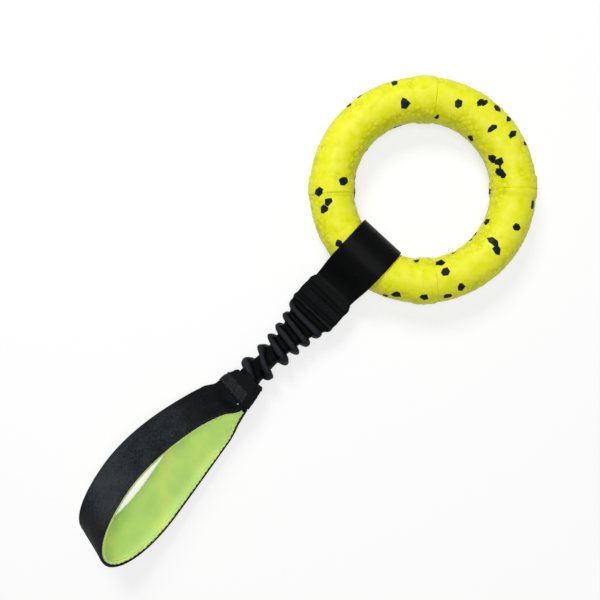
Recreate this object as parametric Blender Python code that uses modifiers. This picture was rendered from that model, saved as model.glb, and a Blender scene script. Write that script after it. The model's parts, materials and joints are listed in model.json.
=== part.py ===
"""Dog tug toy: a moulded ring in a webbing eye, a ruched bungee and a lined hand loop.

The toy lies on the ground, its ring towards +X and its hand loop towards -X. Metres, +Z up.
The origin is on the ground under the middle of the toy's box.
"""

import math

import bmesh
import bpy
from mathutils import Vector

# Fits shared by all pieces
CLEARANCE = 0.0003

# The leash lies a little to one side of the ring's middle, and bends back towards the tab
LEASH_Y = -0.0014
TAB_Y = 0.0002

# Ring
RING_OUTER_DIAMETER = 0.146
RING_TUBE_DIAMETER = 0.0287
BAND_WIDTH = 0.0135
BAND_HEIGHT = 0.0008
BAND_SOFT_EDGE = 0.0045
BAND_CRISP_EDGE = 0.0004
BAND_ANGLES_DEG = (-47.3, 42.7, 132.7, 222.7)
BAND_CRISP_SIDES = (1, -1, -1, 1)
STATIONS_BETWEEN_BANDS = 18
TUBE_SIDES = 28

# Ring strap
STRAP_WIDTH = 0.032
STRAP_NECK_WIDTH = 0.030
STRAP_THICKNESS = 0.0014
STRAP_LENGTH_IN_COLLAR = 0.0170
NECK_LENGTH = 0.0282
NECK_TAPER_SHARE = 0.55
EYE_LEAVING_DEG = 72.0

# Elastic inside the bungee
ELASTIC_WIDTH = 0.008
ELASTIC_THICKNESS = 0.003
ELASTIC_LENGTH_IN_COLLAR = 0.0145

# Bungee sleeve
SLEEVE_WALL = 0.0012
COLLAR_LENGTH = 0.0195
COLLAR_PLEAT_PITCH = 0.0046
COLLAR_PLEAT_HEIGHT = 0.0006
COLLAR_CORNER_RADIUS = 0.0018
BELLOWS_LENGTH = 0.0585
FOLD_PITCH = 0.0084
LAST_FOLD_PITCH = 0.0165
FIRST_FOLD_SHARE = -0.33
RIDGE_FIRST_WIDTH = 0.0330
RIDGE_WAIST_WIDTH = 0.0224
RIDGE_HEIGHT = 0.0155
RIDGE_CORNER_RADIUS = 0.0068
RIDGE_FULLNESS = 0.55
VALLEY_FIRST_WIDTH = 0.0312
VALLEY_HEIGHT = 0.0092
VALLEY_CORNER_RADIUS = 0.0034
BELLOWS_WAIST_SHARE = 0.68
SLEEVE_TUCK = 0.0050
STATIONS_PER_FOLD = 10

# Sewn tab
TAB_LENGTH = 0.0157
TAB_START_WIDTH = 0.0225
TAB_WALL = 0.0010
TAB_CORNER_RADIUS = 0.0014
TAB_TILT_DEG = 36.0

# Handle loop
HANDLE_WIDTH = 0.032
HANDLE_MOUTH_WIDTH = 0.0270
HANDLE_FLARE_LENGTH = 0.008
HANDLE_WEBBING_THICKNESS = 0.0015
HANDLE_LENGTH_IN_TAB = 0.0098
LINING_THICKNESS = 0.0020
LINING_END_THICKNESS = 0.0006
LINING_SKIVED_SHARE = 0.12
LINING_START_SHARE = 0.020
LOOP_LENGTH = 0.1274
LOOP_OPENING = 0.0464
LOOP_PARTING_POWER = 0.83
LOOP_LEAVING_SHARE = 0.08
LOOP_DRIFT = 0.0166
LOOP_OPENING_TILT_DEG = 38.0
LOOP_MEAN_TILT_DEG = 32.8
LOOP_TILT_SWING_DEG = 20.5
LOOP_SETTLING_SHARE = 0.21
LOOP_STATIONS = 100

# Places along the toy, as distances from the ring's centre towards the hand loop
TUBE_RADIUS = RING_TUBE_DIAMETER / 2
RING_MEAN_RADIUS = RING_OUTER_DIAMETER / 2 - TUBE_RADIUS
COLLAR_START = RING_MEAN_RADIUS + NECK_LENGTH
COLLAR_END = COLLAR_START + COLLAR_LENGTH
TAB_START = COLLAR_END + BELLOWS_LENGTH
TAB_MOUTH = TAB_START + TAB_LENGTH
LOOP_END = TAB_MOUTH + LOOP_LENGTH
OVERALL_LENGTH = RING_OUTER_DIAMETER / 2 + LOOP_END
RING_X = OVERALL_LENGTH / 2 - RING_OUTER_DIAMETER / 2

# What is stacked through the sewn tab
STRAND_SEAT = ELASTIC_THICKNESS / 2 + CLEARANCE + HANDLE_WEBBING_THICKNESS / 2
TAB_LINING = TAB_WALL + CLEARANCE
TAB_MOUTH_WIDTH = HANDLE_MOUTH_WIDTH + 2 * TAB_LINING
TAB_HEIGHT = 2 * STRAND_SEAT + HANDLE_WEBBING_THICKNESS + 2 * TAB_LINING
TAB_TILT = math.radians(TAB_TILT_DEG)

# Heights above the ground
RING_Z = STRAP_THICKNESS + CLEARANCE + TUBE_RADIUS
LEASH_Z = (
    (TAB_MOUTH_WIDTH / 2 - TAB_CORNER_RADIUS) * math.sin(TAB_TILT)
    + (TAB_HEIGHT / 2 - TAB_CORNER_RADIUS) * math.cos(TAB_TILT)
    + TAB_CORNER_RADIUS
)

# Sections of the sleeve, outside, as width, height and corner radius
PLY_SEAT = ELASTIC_THICKNESS / 2 + CLEARANCE + STRAP_THICKNESS / 2
COLLAR_SECTION = (
    STRAP_NECK_WIDTH + 2 * (CLEARANCE + SLEEVE_WALL),
    2 * PLY_SEAT + STRAP_THICKNESS + 2 * (CLEARANCE + SLEEVE_WALL),
    COLLAR_CORNER_RADIUS,
)
VALLEY_WAIST_WIDTH = ELASTIC_WIDTH + 2 * (CLEARANCE + SLEEVE_WALL)
TUCKED_SECTION = (
    TAB_START_WIDTH - 2 * TAB_LINING,
    TAB_HEIGHT - 2 * TAB_LINING,
    COLLAR_CORNER_RADIUS,
)


def smoothstep(value, low, high):
    share = min(max((value - low) / (high - low), 0.0), 1.0)
    return share * share * (3 - 2 * share)


def mixed(first, second, share):
    return tuple(a + (b - a) * share for a, b in zip(first, second))


def clear_scene():
    for obj in list(bpy.data.objects):
        bpy.data.objects.remove(obj, do_unlink=True)


def new_material(name, colour, roughness, metallic=0.0):
    material = bpy.data.materials.new(name)
    material.use_nodes = True
    shader = material.node_tree.nodes["Principled BSDF"]
    shader.inputs["Base Color"].default_value = (*colour, 1.0)
    shader.inputs["Roughness"].default_value = roughness
    shader.inputs["Metallic"].default_value = metallic
    material.diffuse_color = (*colour, 1.0)
    return material


def add_object(name, bm, collection, material, origin=(0.0, 0.0, 0.0)):
    """Makes the object with its origin at a place of its own, such as its joint's axis."""
    bmesh.ops.translate(bm, verts=bm.verts, vec=-Vector(origin))
    mesh = bpy.data.meshes.new(name)
    bm.to_mesh(mesh)
    bm.free()
    mesh.shade_smooth()
    mesh.set_sharp_from_angle(angle=math.radians(40))
    mesh.materials.append(material)
    obj = bpy.data.objects.new(name, mesh)
    obj.location = origin
    collection.objects.link(obj)
    return obj


def loft(bm, sections, wraps_along=False):
    """Joins closed sections of equal counts with quads, and hands back their vertices."""
    rows = [[bm.verts.new(point) for point in section] for section in sections]
    pairs = list(zip(rows, rows[1:]))
    if wraps_along:
        pairs.append((rows[-1], rows[0]))
    for row, following in pairs:
        for i in range(len(row)):
            j = (i + 1) % len(row)
            bm.faces.new((row[i], row[j], following[j], following[i]))
    return rows


def capped_loft(sections):
    bm = bmesh.new()
    rows = loft(bm, sections)
    bm.faces.new(reversed(rows[0]))
    bm.faces.new(rows[-1])
    bmesh.ops.recalc_face_normals(bm, faces=bm.faces)
    return bm


def open_tube(outer_sections, inner_sections):
    """A tube with a wall: an outside, an inside and a rim at each end."""
    bm = bmesh.new()
    outer = loft(bm, outer_sections)
    inner = loft(bm, inner_sections)
    for end in (0, -1):
        count = len(outer[end])
        for i in range(count):
            j = (i + 1) % count
            bm.faces.new((outer[end][i], outer[end][j], inner[end][j], inner[end][i]))
    bmesh.ops.recalc_face_normals(bm, faces=bm.faces)
    return bm


def rounded_section(width, height, radius, corner_steps=4, flat_steps=3, side_steps=2):
    """Points (y, z) round a rectangle with rounded corners, from the middle of its +Y side."""
    reach_y = width / 2 - radius
    reach_z = height / 2 - radius
    points = []
    for i in range(side_steps // 2):
        points.append((width / 2, reach_z * 2 * i / side_steps))
    for i in range(corner_steps + 1):
        turn = math.pi / 2 * i / corner_steps
        points.append((reach_y + radius * math.cos(turn), reach_z + radius * math.sin(turn)))
    for i in range(1, flat_steps + 1):
        points.append((reach_y * (1 - 2 * i / (flat_steps + 1)), height / 2))
    for i in range(corner_steps + 1):
        turn = math.pi / 2 * (1 + i / corner_steps)
        points.append((-reach_y + radius * math.cos(turn), reach_z + radius * math.sin(turn)))
    return points + [(-y, -z) for y, z in points]


def leash_y(distance):
    share = smoothstep(distance, TAB_START - BELLOWS_LENGTH / 2, TAB_START)
    return LEASH_Y + (TAB_Y - LEASH_Y) * share


def placed_section(points, distance, tilt):
    """Turns a section about the leash's line, its +Y side going down, and sets it in its place."""
    across = Vector((0.0, math.cos(tilt), -math.sin(tilt)))
    upward = Vector((0.0, math.sin(tilt), math.cos(tilt)))
    centre = Vector((RING_X - distance, leash_y(distance), LEASH_Z))
    return [centre + across * y + upward * z for y, z in points]


def ring_stations():
    """Angles round the ring with the band's rise at each, close together at a band's crisp edge."""
    half = math.degrees(BAND_WIDTH / 2 / RING_MEAN_RADIUS)
    soft = math.degrees(BAND_SOFT_EDGE / RING_MEAN_RADIUS)
    crisp = math.degrees(BAND_CRISP_EDGE / RING_MEAN_RADIUS)
    soft_shares = (0.0, 0.25, 0.5, 0.75, 1.0)
    stations = []
    for centre, side in zip(BAND_ANGLES_DEG, BAND_CRISP_SIDES):
        band = [(side * (half + crisp), 0.0), (side * half, 1.0), (0.0, 1.0)]
        for share in soft_shares:
            band.append((-side * (half - soft * (1 - share)), 1 - smoothstep(share, 0.0, 1.0)))
        gap_start = half + crisp
        gap_length = 90 - 2 * gap_start
        for i in range(1, STATIONS_BETWEEN_BANDS):
            band.append((gap_start + gap_length * i / STATIONS_BETWEEN_BANDS, 0.0))
        stations += [(centre + offset, rise) for offset, rise in sorted(band)]
    return stations


def build_ring(collection):
    material = new_material("ring_rubber", (0.78, 0.86, 0.02), 0.5)
    sections = []
    for angle_deg, rise in ring_stations():
        angle = math.radians(angle_deg)
        outward = Vector((math.cos(angle), math.sin(angle), 0.0))
        radius = TUBE_RADIUS + BAND_HEIGHT * rise
        section = []
        for i in range(TUBE_SIDES):
            turn = 2 * math.pi * i / TUBE_SIDES
            reach = RING_MEAN_RADIUS + radius * math.cos(turn)
            section.append(outward * reach + Vector((0.0, 0.0, radius * math.sin(turn))))
        sections.append(section)
    bm = bmesh.new()
    loft(bm, sections, wraps_along=True)
    bmesh.ops.recalc_face_normals(bm, faces=bm.faces)
    centre = Vector((RING_X, 0.0, RING_Z))
    bmesh.ops.translate(bm, verts=bm.verts, vec=centre)
    return add_object("ring", bm, collection, material, centre)


def hermite(start, start_slope, end, end_slope, steps):
    """Points of a smooth curve, its two ends included."""
    points = []
    for i in range(steps + 1):
        t = i / steps
        a = 2 * t**3 - 3 * t**2 + 1
        b = t**3 - 2 * t**2 + t
        c = -2 * t**3 + 3 * t**2
        d = t**3 - t**2
        points.append(
            tuple(
                a * start[k] + b * start_slope[k] + c * end[k] + d * end_slope[k]
                for k in (0, 1)
            )
        )
    return points


def eye_path():
    """The strap's middle line in its side view, as (distance past the tube's middle, height from it)."""
    half = STRAP_WIDTH / 2 + abs(LEASH_Y)
    stand_off = CLEARANCE + STRAP_THICKNESS / 2
    over = TUBE_RADIUS + stand_off
    hole_radius = RING_MEAN_RADIUS - TUBE_RADIUS
    shift = RING_MEAN_RADIUS - math.sqrt(RING_MEAN_RADIUS**2 - half**2)
    hole_reach = RING_MEAN_RADIUS - math.sqrt(hole_radius**2 - half**2) + stand_off - shift
    drop = LEASH_Z - RING_Z
    ply_end = NECK_LENGTH + STRAP_LENGTH_IN_COLLAR
    leaving = math.radians(EYE_LEAVING_DEG)
    leave = (over * math.cos(leaving), over * math.sin(leaving))
    pull = NECK_LENGTH
    top = hermite(
        (NECK_LENGTH, drop + PLY_SEAT),
        (-pull, 0.0),
        leave,
        (-pull * math.sin(leaving), pull * math.cos(leaving)),
        8,
    )
    crown = [
        (over * math.cos(turn), over * math.sin(turn))
        for turn in (leaving + (math.pi / 2 - leaving) * i / 3 for i in (1, 2, 3))
    ]
    around = [
        (-shift - hole_reach * math.sin(turn), over * math.cos(turn))
        for turn in (math.pi * i / 18 for i in range(19))
    ]
    under = hermite((shift, -over), (pull, 0.0), (NECK_LENGTH, drop - PLY_SEAT), (pull, 0.0), 8)
    tail_top = [(ply_end, drop + PLY_SEAT)]
    tail_under = [(ply_end, drop - PLY_SEAT)]
    return tail_top + top + crown + around + under + tail_under


def strap_half_width(distance):
    share = smoothstep(distance, NECK_LENGTH * (1 - NECK_TAPER_SHARE), NECK_LENGTH)
    return (STRAP_WIDTH + (STRAP_NECK_WIDTH - STRAP_WIDTH) * share) / 2


def build_ring_strap(collection):
    material = new_material("satin_webbing", (0.012, 0.013, 0.015), 0.35)
    bm = bmesh.new()
    rows = []
    for distance, height in eye_path():
        half = strap_half_width(distance)
        x = RING_X - RING_MEAN_RADIUS - distance
        places = [(x, LEASH_Y + side * half, RING_Z + height) for side in (1, 0, -1)]
        rows.append([bm.verts.new(place) for place in places])
    for row, following in zip(rows, rows[1:]):
        for i in (0, 1):
            bm.faces.new((row[i], row[i + 1], following[i + 1], following[i]))
    tube_middle = Vector((RING_X - RING_MEAN_RADIUS, LEASH_Y, RING_Z))
    strap = add_object("ring_strap", bm, collection, material, tube_middle)
    solidify = strap.modifiers.new("webbing thickness", "SOLIDIFY")
    solidify.thickness = STRAP_THICKNESS
    solidify.offset = 0.0
    solidify.use_even_offset = True
    return strap


def fold_turns():
    """The count of folds passed at each of many distances, summed from the pitch there."""
    step = FOLD_PITCH / STATIONS_PER_FOLD
    distance = COLLAR_END
    turns = FIRST_FOLD_SHARE
    table = []
    while distance < TAB_START + SLEEVE_TUCK:
        table.append((distance, turns))
        widening = smoothstep(distance, TAB_START - 1.5 * LAST_FOLD_PITCH, TAB_START - LAST_FOLD_PITCH)
        turns += step / (FOLD_PITCH + (LAST_FOLD_PITCH - FOLD_PITCH) * widening)
        distance += step
    return table


def leash_tilt(distance):
    return TAB_TILT * smoothstep(distance, COLLAR_END, TAB_START)


def bellows_sections(distance):
    """The ridge's and the valley's outline at a distance, drawn in towards each end."""
    along = (distance - COLLAR_END) / BELLOWS_LENGTH
    spread = (1 - along / BELLOWS_WAIST_SHARE) ** 2
    ridge = (
        RIDGE_WAIST_WIDTH + (RIDGE_FIRST_WIDTH - RIDGE_WAIST_WIDTH) * spread,
        RIDGE_HEIGHT,
        RIDGE_CORNER_RADIUS,
    )
    valley = (
        VALLEY_WAIST_WIDTH + (VALLEY_FIRST_WIDTH - VALLEY_WAIST_WIDTH) * spread,
        VALLEY_HEIGHT,
        VALLEY_CORNER_RADIUS,
    )
    leaving = smoothstep(distance, COLLAR_END - FOLD_PITCH / 2, COLLAR_END + FOLD_PITCH)
    entering = smoothstep(distance, TAB_START - FOLD_PITCH, TAB_START - FOLD_PITCH / 4)
    pleat = tuple(2 * COLLAR_PLEAT_HEIGHT * share for share in (1, 1, 0))
    collar_ridge = tuple(a + b for a, b in zip(COLLAR_SECTION, pleat))
    ridge = mixed(mixed(collar_ridge, ridge, leaving), TUCKED_SECTION, entering)
    valley = mixed(mixed(COLLAR_SECTION, valley, leaving), TUCKED_SECTION, entering)
    return ridge, valley


def sleeve_stations():
    """(distance, turns of the folds) from the collar's mouth to the sleeve's end in the tab."""
    pleats = round(COLLAR_LENGTH / COLLAR_PLEAT_PITCH * 5)
    stations = []
    for i in range(pleats):
        along = COLLAR_LENGTH * i / pleats
        turns = FIRST_FOLD_SHARE + (along - COLLAR_LENGTH) / COLLAR_PLEAT_PITCH
        stations.append((COLLAR_START + along, turns))
    stations += fold_turns()
    stations.append((TAB_START + SLEEVE_TUCK, stations[-1][1]))
    return stations


def build_bungee_sleeve(collection):
    material = new_material("bungee_webbing", (0.010, 0.010, 0.012), 0.7)
    outer_sections = []
    inner_sections = []
    for distance, turns in sleeve_stations():
        ridge, valley = bellows_sections(distance)
        outlines = []
        for inset in (0.0, SLEEVE_WALL):
            high, low = (
                rounded_section(
                    section[0] - 2 * inset,
                    section[1] - 2 * inset,
                    max(section[2] - inset, CLEARANCE),
                )
                for section in (ridge, valley)
            )
            count = len(high)
            points = []
            for i in range(count):
                wave = 0.5 + 0.5 * math.cos(2 * math.pi * (turns - i / count))
                points.append(mixed(low[i], high[i], wave**RIDGE_FULLNESS))
            outlines.append(placed_section(points, distance, leash_tilt(distance)))
        outer_sections.append(outlines[0])
        inner_sections.append(outlines[1])
    bm = open_tube(outer_sections, inner_sections)
    origin = (RING_X - COLLAR_START, LEASH_Y, LEASH_Z)
    return add_object("bungee_sleeve", bm, collection, material, origin)


def build_elastic_band(collection):
    material = new_material("elastic", (0.03, 0.03, 0.03), 0.6)
    start = COLLAR_END - ELASTIC_LENGTH_IN_COLLAR
    end = TAB_MOUTH - CLEARANCE
    corners = [
        (side * ELASTIC_WIDTH / 2, level * ELASTIC_THICKNESS / 2)
        for side, level in ((1, -1), (1, 1), (0, 1), (-1, 1), (-1, -1), (0, -1))
    ]
    steps = 30
    sections = []
    for i in range(steps + 1):
        distance = start + (end - start) * i / steps
        sections.append(placed_section(corners, distance, leash_tilt(distance)))
    origin = (RING_X - start, LEASH_Y, LEASH_Z)
    return add_object("elastic_band", capped_loft(sections), collection, material, origin)


def tab_width(distance):
    share = (distance - TAB_START) / TAB_LENGTH
    return TAB_START_WIDTH + (TAB_MOUTH_WIDTH - TAB_START_WIDTH) * share


def build_sewn_tab(collection):
    material = new_material("stitched_tab", (0.014, 0.014, 0.016), 0.85)
    outer = []
    inner = []
    for i in range(5):
        place = TAB_START + TAB_LENGTH * i / 4
        outside = rounded_section(tab_width(place), TAB_HEIGHT, TAB_CORNER_RADIUS)
        inside = rounded_section(
            tab_width(place) - 2 * TAB_WALL,
            TAB_HEIGHT - 2 * TAB_WALL,
            TAB_CORNER_RADIUS - TAB_WALL,
        )
        outer.append(placed_section(outside, place, TAB_TILT))
        inner.append(placed_section(inside, place, TAB_TILT))
    origin = (RING_X - TAB_START, TAB_Y, LEASH_Z)
    return add_object("sewn_tab", open_tube(outer, inner), collection, material, origin)


def loop_spread(turn):
    """How far a strand stands from the loop's middle line: 1 at its widest, -1 for the lower strand."""
    power = LOOP_PARTING_POWER
    widest = math.atan(math.sqrt(1 + power))
    shape = math.sin(2 * turn) * abs(math.sin(turn)) ** power
    leaving = smoothstep(math.sin(turn) ** 2, 0.0, LOOP_LEAVING_SHARE)
    return leaving * shape / (math.sin(2 * widest) * math.sin(widest) ** power)


def loop_tilt(turn):
    """The strip's tilt about the leash's line, easing from the tab's own tilt."""
    settled = smoothstep(math.sin(turn) ** 2, 0.0, LOOP_SETTLING_SHARE)
    open_tilt = math.radians(LOOP_MEAN_TILT_DEG + LOOP_TILT_SWING_DEG * math.cos(turn))
    return TAB_TILT + (open_tilt - TAB_TILT) * settled


def ground_height(turn, half):
    """The height of the loop's shut middle line at which the lower strand's edge rests on the ground."""
    tilt = loop_tilt(max(turn, math.pi - turn))
    level = HANDLE_WEBBING_THICKNESS / 2 + STRAND_SEAT * abs(math.cos(turn))
    return half * math.sin(tilt) + level * math.cos(tilt)


def loop_point(turn):
    """(middle line, width direction, half width) at a turn: 0 leaves the tab above, pi returns below."""
    share = math.sin(turn) ** 2
    along = (LOOP_LENGTH - HANDLE_WEBBING_THICKNESS / 2) * share
    tilt = loop_tilt(turn)
    across = Vector((0.0, math.cos(tilt), -math.sin(tilt)))
    upward = Vector((0.0, math.sin(tilt), math.cos(tilt)))
    flare = smoothstep(along, 0.0, HANDLE_FLARE_LENGTH)
    half = (HANDLE_MOUTH_WIDTH + (HANDLE_WIDTH - HANDLE_MOUTH_WIDTH) * flare) / 2
    widest = math.atan(math.sqrt(1 + LOOP_PARTING_POWER))
    rise = 1.0 if share > math.sin(widest) ** 2 else abs(loop_spread(turn))
    opening_tilt = math.radians(LOOP_OPENING_TILT_DEG)
    opening = Vector((0.0, math.sin(opening_tilt), math.cos(opening_tilt))) * LOOP_OPENING / 2
    seated = LEASH_Z - ground_height(0.0, HANDLE_MOUTH_WIDTH / 2)
    hung = seated * (1 - smoothstep(share, 0.0, LOOP_LEAVING_SHARE))
    point = Vector((RING_X - TAB_MOUTH - along, TAB_Y - LOOP_DRIFT * share, 0.0))
    point.z = ground_height(turn, half) + hung
    point += opening * (rise + loop_spread(turn))
    point += upward * STRAND_SEAT * math.cos(turn)
    return point, across, half


def loop_frames():
    """(middle, width direction, outward direction, half width) along the strip, from end to end."""
    frames = []
    step = math.pi / LOOP_STATIONS
    for i in range(LOOP_STATIONS + 1):
        point, across, half = loop_point(step * i)
        if i in (0, LOOP_STATIONS):
            along = Vector((-1.0 if i == 0 else 1.0, 0.0, 0.0))
        else:
            before = loop_point(step * (i - 0.5))[0]
            after = loop_point(step * (i + 0.5))[0]
            along = (after - before).normalized()
        frames.append((point, across, across.cross(along).normalized(), half))
    return frames


def band_section(frame, inner, outer):
    """Corners and middles of a flat strip's section, from one height off its middle line to another."""
    point, across, outward, half = frame
    places = [(half, inner), (half, outer), (0.0, outer), (-half, outer), (-half, inner), (0.0, inner)]
    return [point + across * side + outward * level for side, level in places]


def tucked_frame(frame):
    """The same place in the loop's end moved into the tab, as narrow as the tab is there."""
    point, across, outward, _ = frame
    half = tab_width(TAB_MOUTH - HANDLE_LENGTH_IN_TAB) / 2 - TAB_LINING
    return point + Vector((HANDLE_LENGTH_IN_TAB, 0.0, 0.0)), across, outward, half


def build_handle(collection):
    webbing_material = new_material("handle_webbing", (0.016, 0.018, 0.020), 0.55)
    lining_material = new_material("lime_neoprene", (0.42, 0.68, 0.12), 0.8)
    frames = loop_frames()
    mouth = RING_X - TAB_MOUTH
    reach = HANDLE_WEBBING_THICKNESS / 2
    webbing_frames = [tucked_frame(frames[0])] + frames + [tucked_frame(frames[-1])]
    webbing = [band_section(frame, -reach, reach) for frame in webbing_frames]
    lining = []
    for frame in frames:
        share = (mouth - frame[0].x) / LOOP_LENGTH
        if share < LINING_START_SHARE:
            continue
        full = smoothstep(share, LINING_START_SHARE, LINING_SKIVED_SHARE)
        thickness = LINING_END_THICKNESS + (LINING_THICKNESS - LINING_END_THICKNESS) * full
        outer = -reach - CLEARANCE
        lining.append(band_section(frame, outer - thickness, outer))
    origin = (mouth, TAB_Y, LEASH_Z)
    add_object("handle_webbing", capped_loft(webbing), collection, webbing_material, origin)
    add_object("handle_lining", capped_loft(lining), collection, lining_material, origin)


def main():
    clear_scene()
    collection = bpy.data.collections.new("dog_tug_toy")
    bpy.context.scene.collection.children.link(collection)
    build_ring(collection)
    build_ring_strap(collection)
    build_bungee_sleeve(collection)
    build_elastic_band(collection)
    build_sewn_tab(collection)
    build_handle(collection)


main()
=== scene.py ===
"""Dog tug toy: the finish of every surface and the soft pieces, laid out as a Blender add-on.

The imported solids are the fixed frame. Each operator dresses one piece of the toy inside it, in metres,
+Z up, the ring towards +X and the hand loop towards -X, lying on the ground at Z 0.
"""

import json
import math
import random

import bpy
import numpy as np
from bpy.props import FloatProperty, FloatVectorProperty, IntProperty, PointerProperty
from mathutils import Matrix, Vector, noise


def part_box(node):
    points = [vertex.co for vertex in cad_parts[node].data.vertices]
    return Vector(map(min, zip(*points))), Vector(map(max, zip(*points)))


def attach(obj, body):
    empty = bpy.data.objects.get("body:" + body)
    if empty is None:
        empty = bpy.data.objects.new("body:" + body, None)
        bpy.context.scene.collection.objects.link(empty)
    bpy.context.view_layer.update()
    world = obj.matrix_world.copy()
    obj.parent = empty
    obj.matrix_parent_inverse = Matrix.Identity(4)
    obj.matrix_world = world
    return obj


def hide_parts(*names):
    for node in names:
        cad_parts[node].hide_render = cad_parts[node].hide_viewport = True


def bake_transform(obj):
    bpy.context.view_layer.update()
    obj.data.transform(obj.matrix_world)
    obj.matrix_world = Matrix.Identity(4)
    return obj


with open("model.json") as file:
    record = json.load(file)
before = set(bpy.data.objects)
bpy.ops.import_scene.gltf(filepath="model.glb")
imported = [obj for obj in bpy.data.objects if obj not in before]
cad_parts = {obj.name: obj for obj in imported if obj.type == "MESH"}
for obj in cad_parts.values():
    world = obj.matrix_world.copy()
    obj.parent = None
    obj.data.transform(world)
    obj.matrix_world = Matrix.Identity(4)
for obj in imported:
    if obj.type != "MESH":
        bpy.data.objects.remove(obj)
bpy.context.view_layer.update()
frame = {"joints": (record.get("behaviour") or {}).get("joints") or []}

bl_info = {
    "name": "Dog Tug Toy",
    "version": (1, 0, 0),
    "blender": (4, 5, 0),
    "location": "View3D > Sidebar > Tug Toy",
    "description": "Dresses a ring, bungee and hand loop dog toy in rubber, webbing and neoprene",
    "category": "Object",
}


def joint_place(name):
    return next(Vector(joint["pos_m"]) for joint in frame["joints"] if joint["name"] == name)


# Places that the frame gives
RING_CENTRE = joint_place("ring_turn")
TUBE_MIDDLE = joint_place("leash_swing")
TAB_MOUTH_PLACE = joint_place("handle_fold")
RING_X = RING_CENTRE.x
LEASH_Y = TUBE_MIDDLE.y
TAB_Y = TAB_MOUTH_PLACE.y
LEASH_Z = TAB_MOUTH_PLACE.z
RING_LOW, RING_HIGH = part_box("ring")
SLEEVE_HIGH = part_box("bungee_sleeve")[1]
TAB_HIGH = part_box("sewn_tab")[1]
HANDLE_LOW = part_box("handle_webbing")[0]
ELASTIC_LOW, ELASTIC_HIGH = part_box("elastic_band")

# Clearance between pieces, as in the frame
CLEARANCE = 0.0003

# Ring
BAND_WIDTH = 0.0135
BAND_HEIGHT = 0.0008
BAND_SOFT_EDGE = 0.0045
BAND_CRISP_EDGE = 0.0004
BAND_ANGLES_DEG = (-47.3, 42.7, 132.7, 222.7)
BAND_CRISP_SIDES = (1, -1, -1, 1)
MOULD_SEAMS_DEG = (-47.7, 136.2)
MOULD_SEAM_WIDTH = 0.00045
MOULD_SEAM_DEPTH = 0.00030
SWELL_SIZE = 0.0062
PATCH_SIZE = 0.016
PEBBLE_WARP = 0.0007
PEBBLE_WARP_SIZE = 0.004
PEBBLE_GROOVE_SHARE = 0.42
PEBBLE_MIDDLE_LEVEL = 0.6
CROWN_PEBBLE_SHARE = 0.12
CROWN_EDGE = (0.15, 0.60)
CROWN_EDGE_WANDER = 0.45
TUBE_RADIUS = (RING_HIGH.z - RING_LOW.z) / 2 - BAND_HEIGHT
RING_MEAN_RADIUS = RING_X - TUBE_MIDDLE.x

# Fineness of the surfaces, and the least turn that shows as an edge
RING_STATIONS = 760
TUBE_SIDES = 136
STRIP_STEPS = 30
EDGE_STEPS = 6
BEND_STEPS = 36
SECTION_FINENESS = 5
LOOP_STEPS = 420
SHARP_EDGE_DEG = 50.0

# Ring strap
STRAP_WIDTH = 0.032
STRAP_NECK_WIDTH = 0.030
STRAP_THICKNESS = 0.0014
STRAP_LENGTH_IN_COLLAR = 0.0170
NECK_LENGTH = TUBE_MIDDLE.x - SLEEVE_HIGH.x
NECK_TAPER_SHARE = 0.55
EYE_LEAVING_DEG = 72.0
STRAP_EDGE_RADIUS = 0.0006
STRAP_SELVEDGE = (0.0016, 0.0010)
STRAP_SELVEDGE_RISE = 0.00006

# Elastic
ELASTIC_WIDTH = 0.008
ELASTIC_THICKNESS = 0.003

# Bungee sleeve, with places as distances from the ring's centre towards the hand loop
COLLAR_LENGTH = 0.0195
COLLAR_START = RING_X - SLEEVE_HIGH.x
COLLAR_END = COLLAR_START + COLLAR_LENGTH
TAB_START = RING_X - TAB_HIGH.x
TAB_MOUTH = RING_X - TAB_MOUTH_PLACE.x
SLEEVE_WALL = 0.0012
COLLAR_PLEAT_PITCH = 0.0046
COLLAR_PLEAT_HEIGHT = 0.0006
COLLAR_PLEAT_SPREAD = 0.0098
COLLAR_ROUNDING = 0.0010
COLLAR_CORNER_RADIUS = 0.0018
FOLD_PITCH = 0.0084
LAST_FOLD_PITCH = 0.0130
WIDENING = (0.024, 0.016)
LAGGING = (0.032, 0.016)
FIRST_FOLD_SHARE = -0.56
RIDGE_FIRST_WIDTH = 0.0330
RIDGE_WAIST_WIDTH = 0.0224
RIDGE_HEIGHT = 0.0155
RIDGE_CORNER_RADIUS = 0.0068
ROLLED_HALF_WIDTH = 0.0027
ROLLED_FULLNESS = 0.55
ROLLED_CREASE = 0.08
MOST_ROLLED_SHARE = 0.47
LAST_FOLD_LAG = 0.26
LAST_ROLL_HALF_WIDTH = 0.0044
LAST_ROLL_REACH = (0.0130, 0.0060)
VALLEY_FIRST_WIDTH = 0.0312
VALLEY_HEIGHT = 0.0092
VALLEY_CORNER_RADIUS = 0.0034
BELLOWS_WAIST_SHARE = 0.68
SLEEVE_TUCK = 0.0050
SLEEVE_HEM = (0.0010, 0.0024)
COLLAR_ROUNDED_LENGTH = 0.0035
TUCKING = (0.34 * FOLD_PITCH, 0.04 * FOLD_PITCH)
WANDER_LENGTH = 0.011
WANDER_SHARE = 0.09
UNEVENNESS = (0.50, 0.70)
PLEAT_WANDER = 1.6
PLEAT_SHARES = (0.6, 0.35)
# Share of painted highlight on the collar's pleat tops
PLEAT_PAINTED_HIGHLIGHT_SHARE = 0.45
PLEAT_WIDTH_SHARE = 0.4
WRINKLE_STRETCH = (1.5, 0.6, 0.9)
WRINKLE_SIZES = (0.0062, 0.0028)
WRINKLE_FADE = 0.004
COLLAR_WRINKLE_SHARE = 0.35

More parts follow.
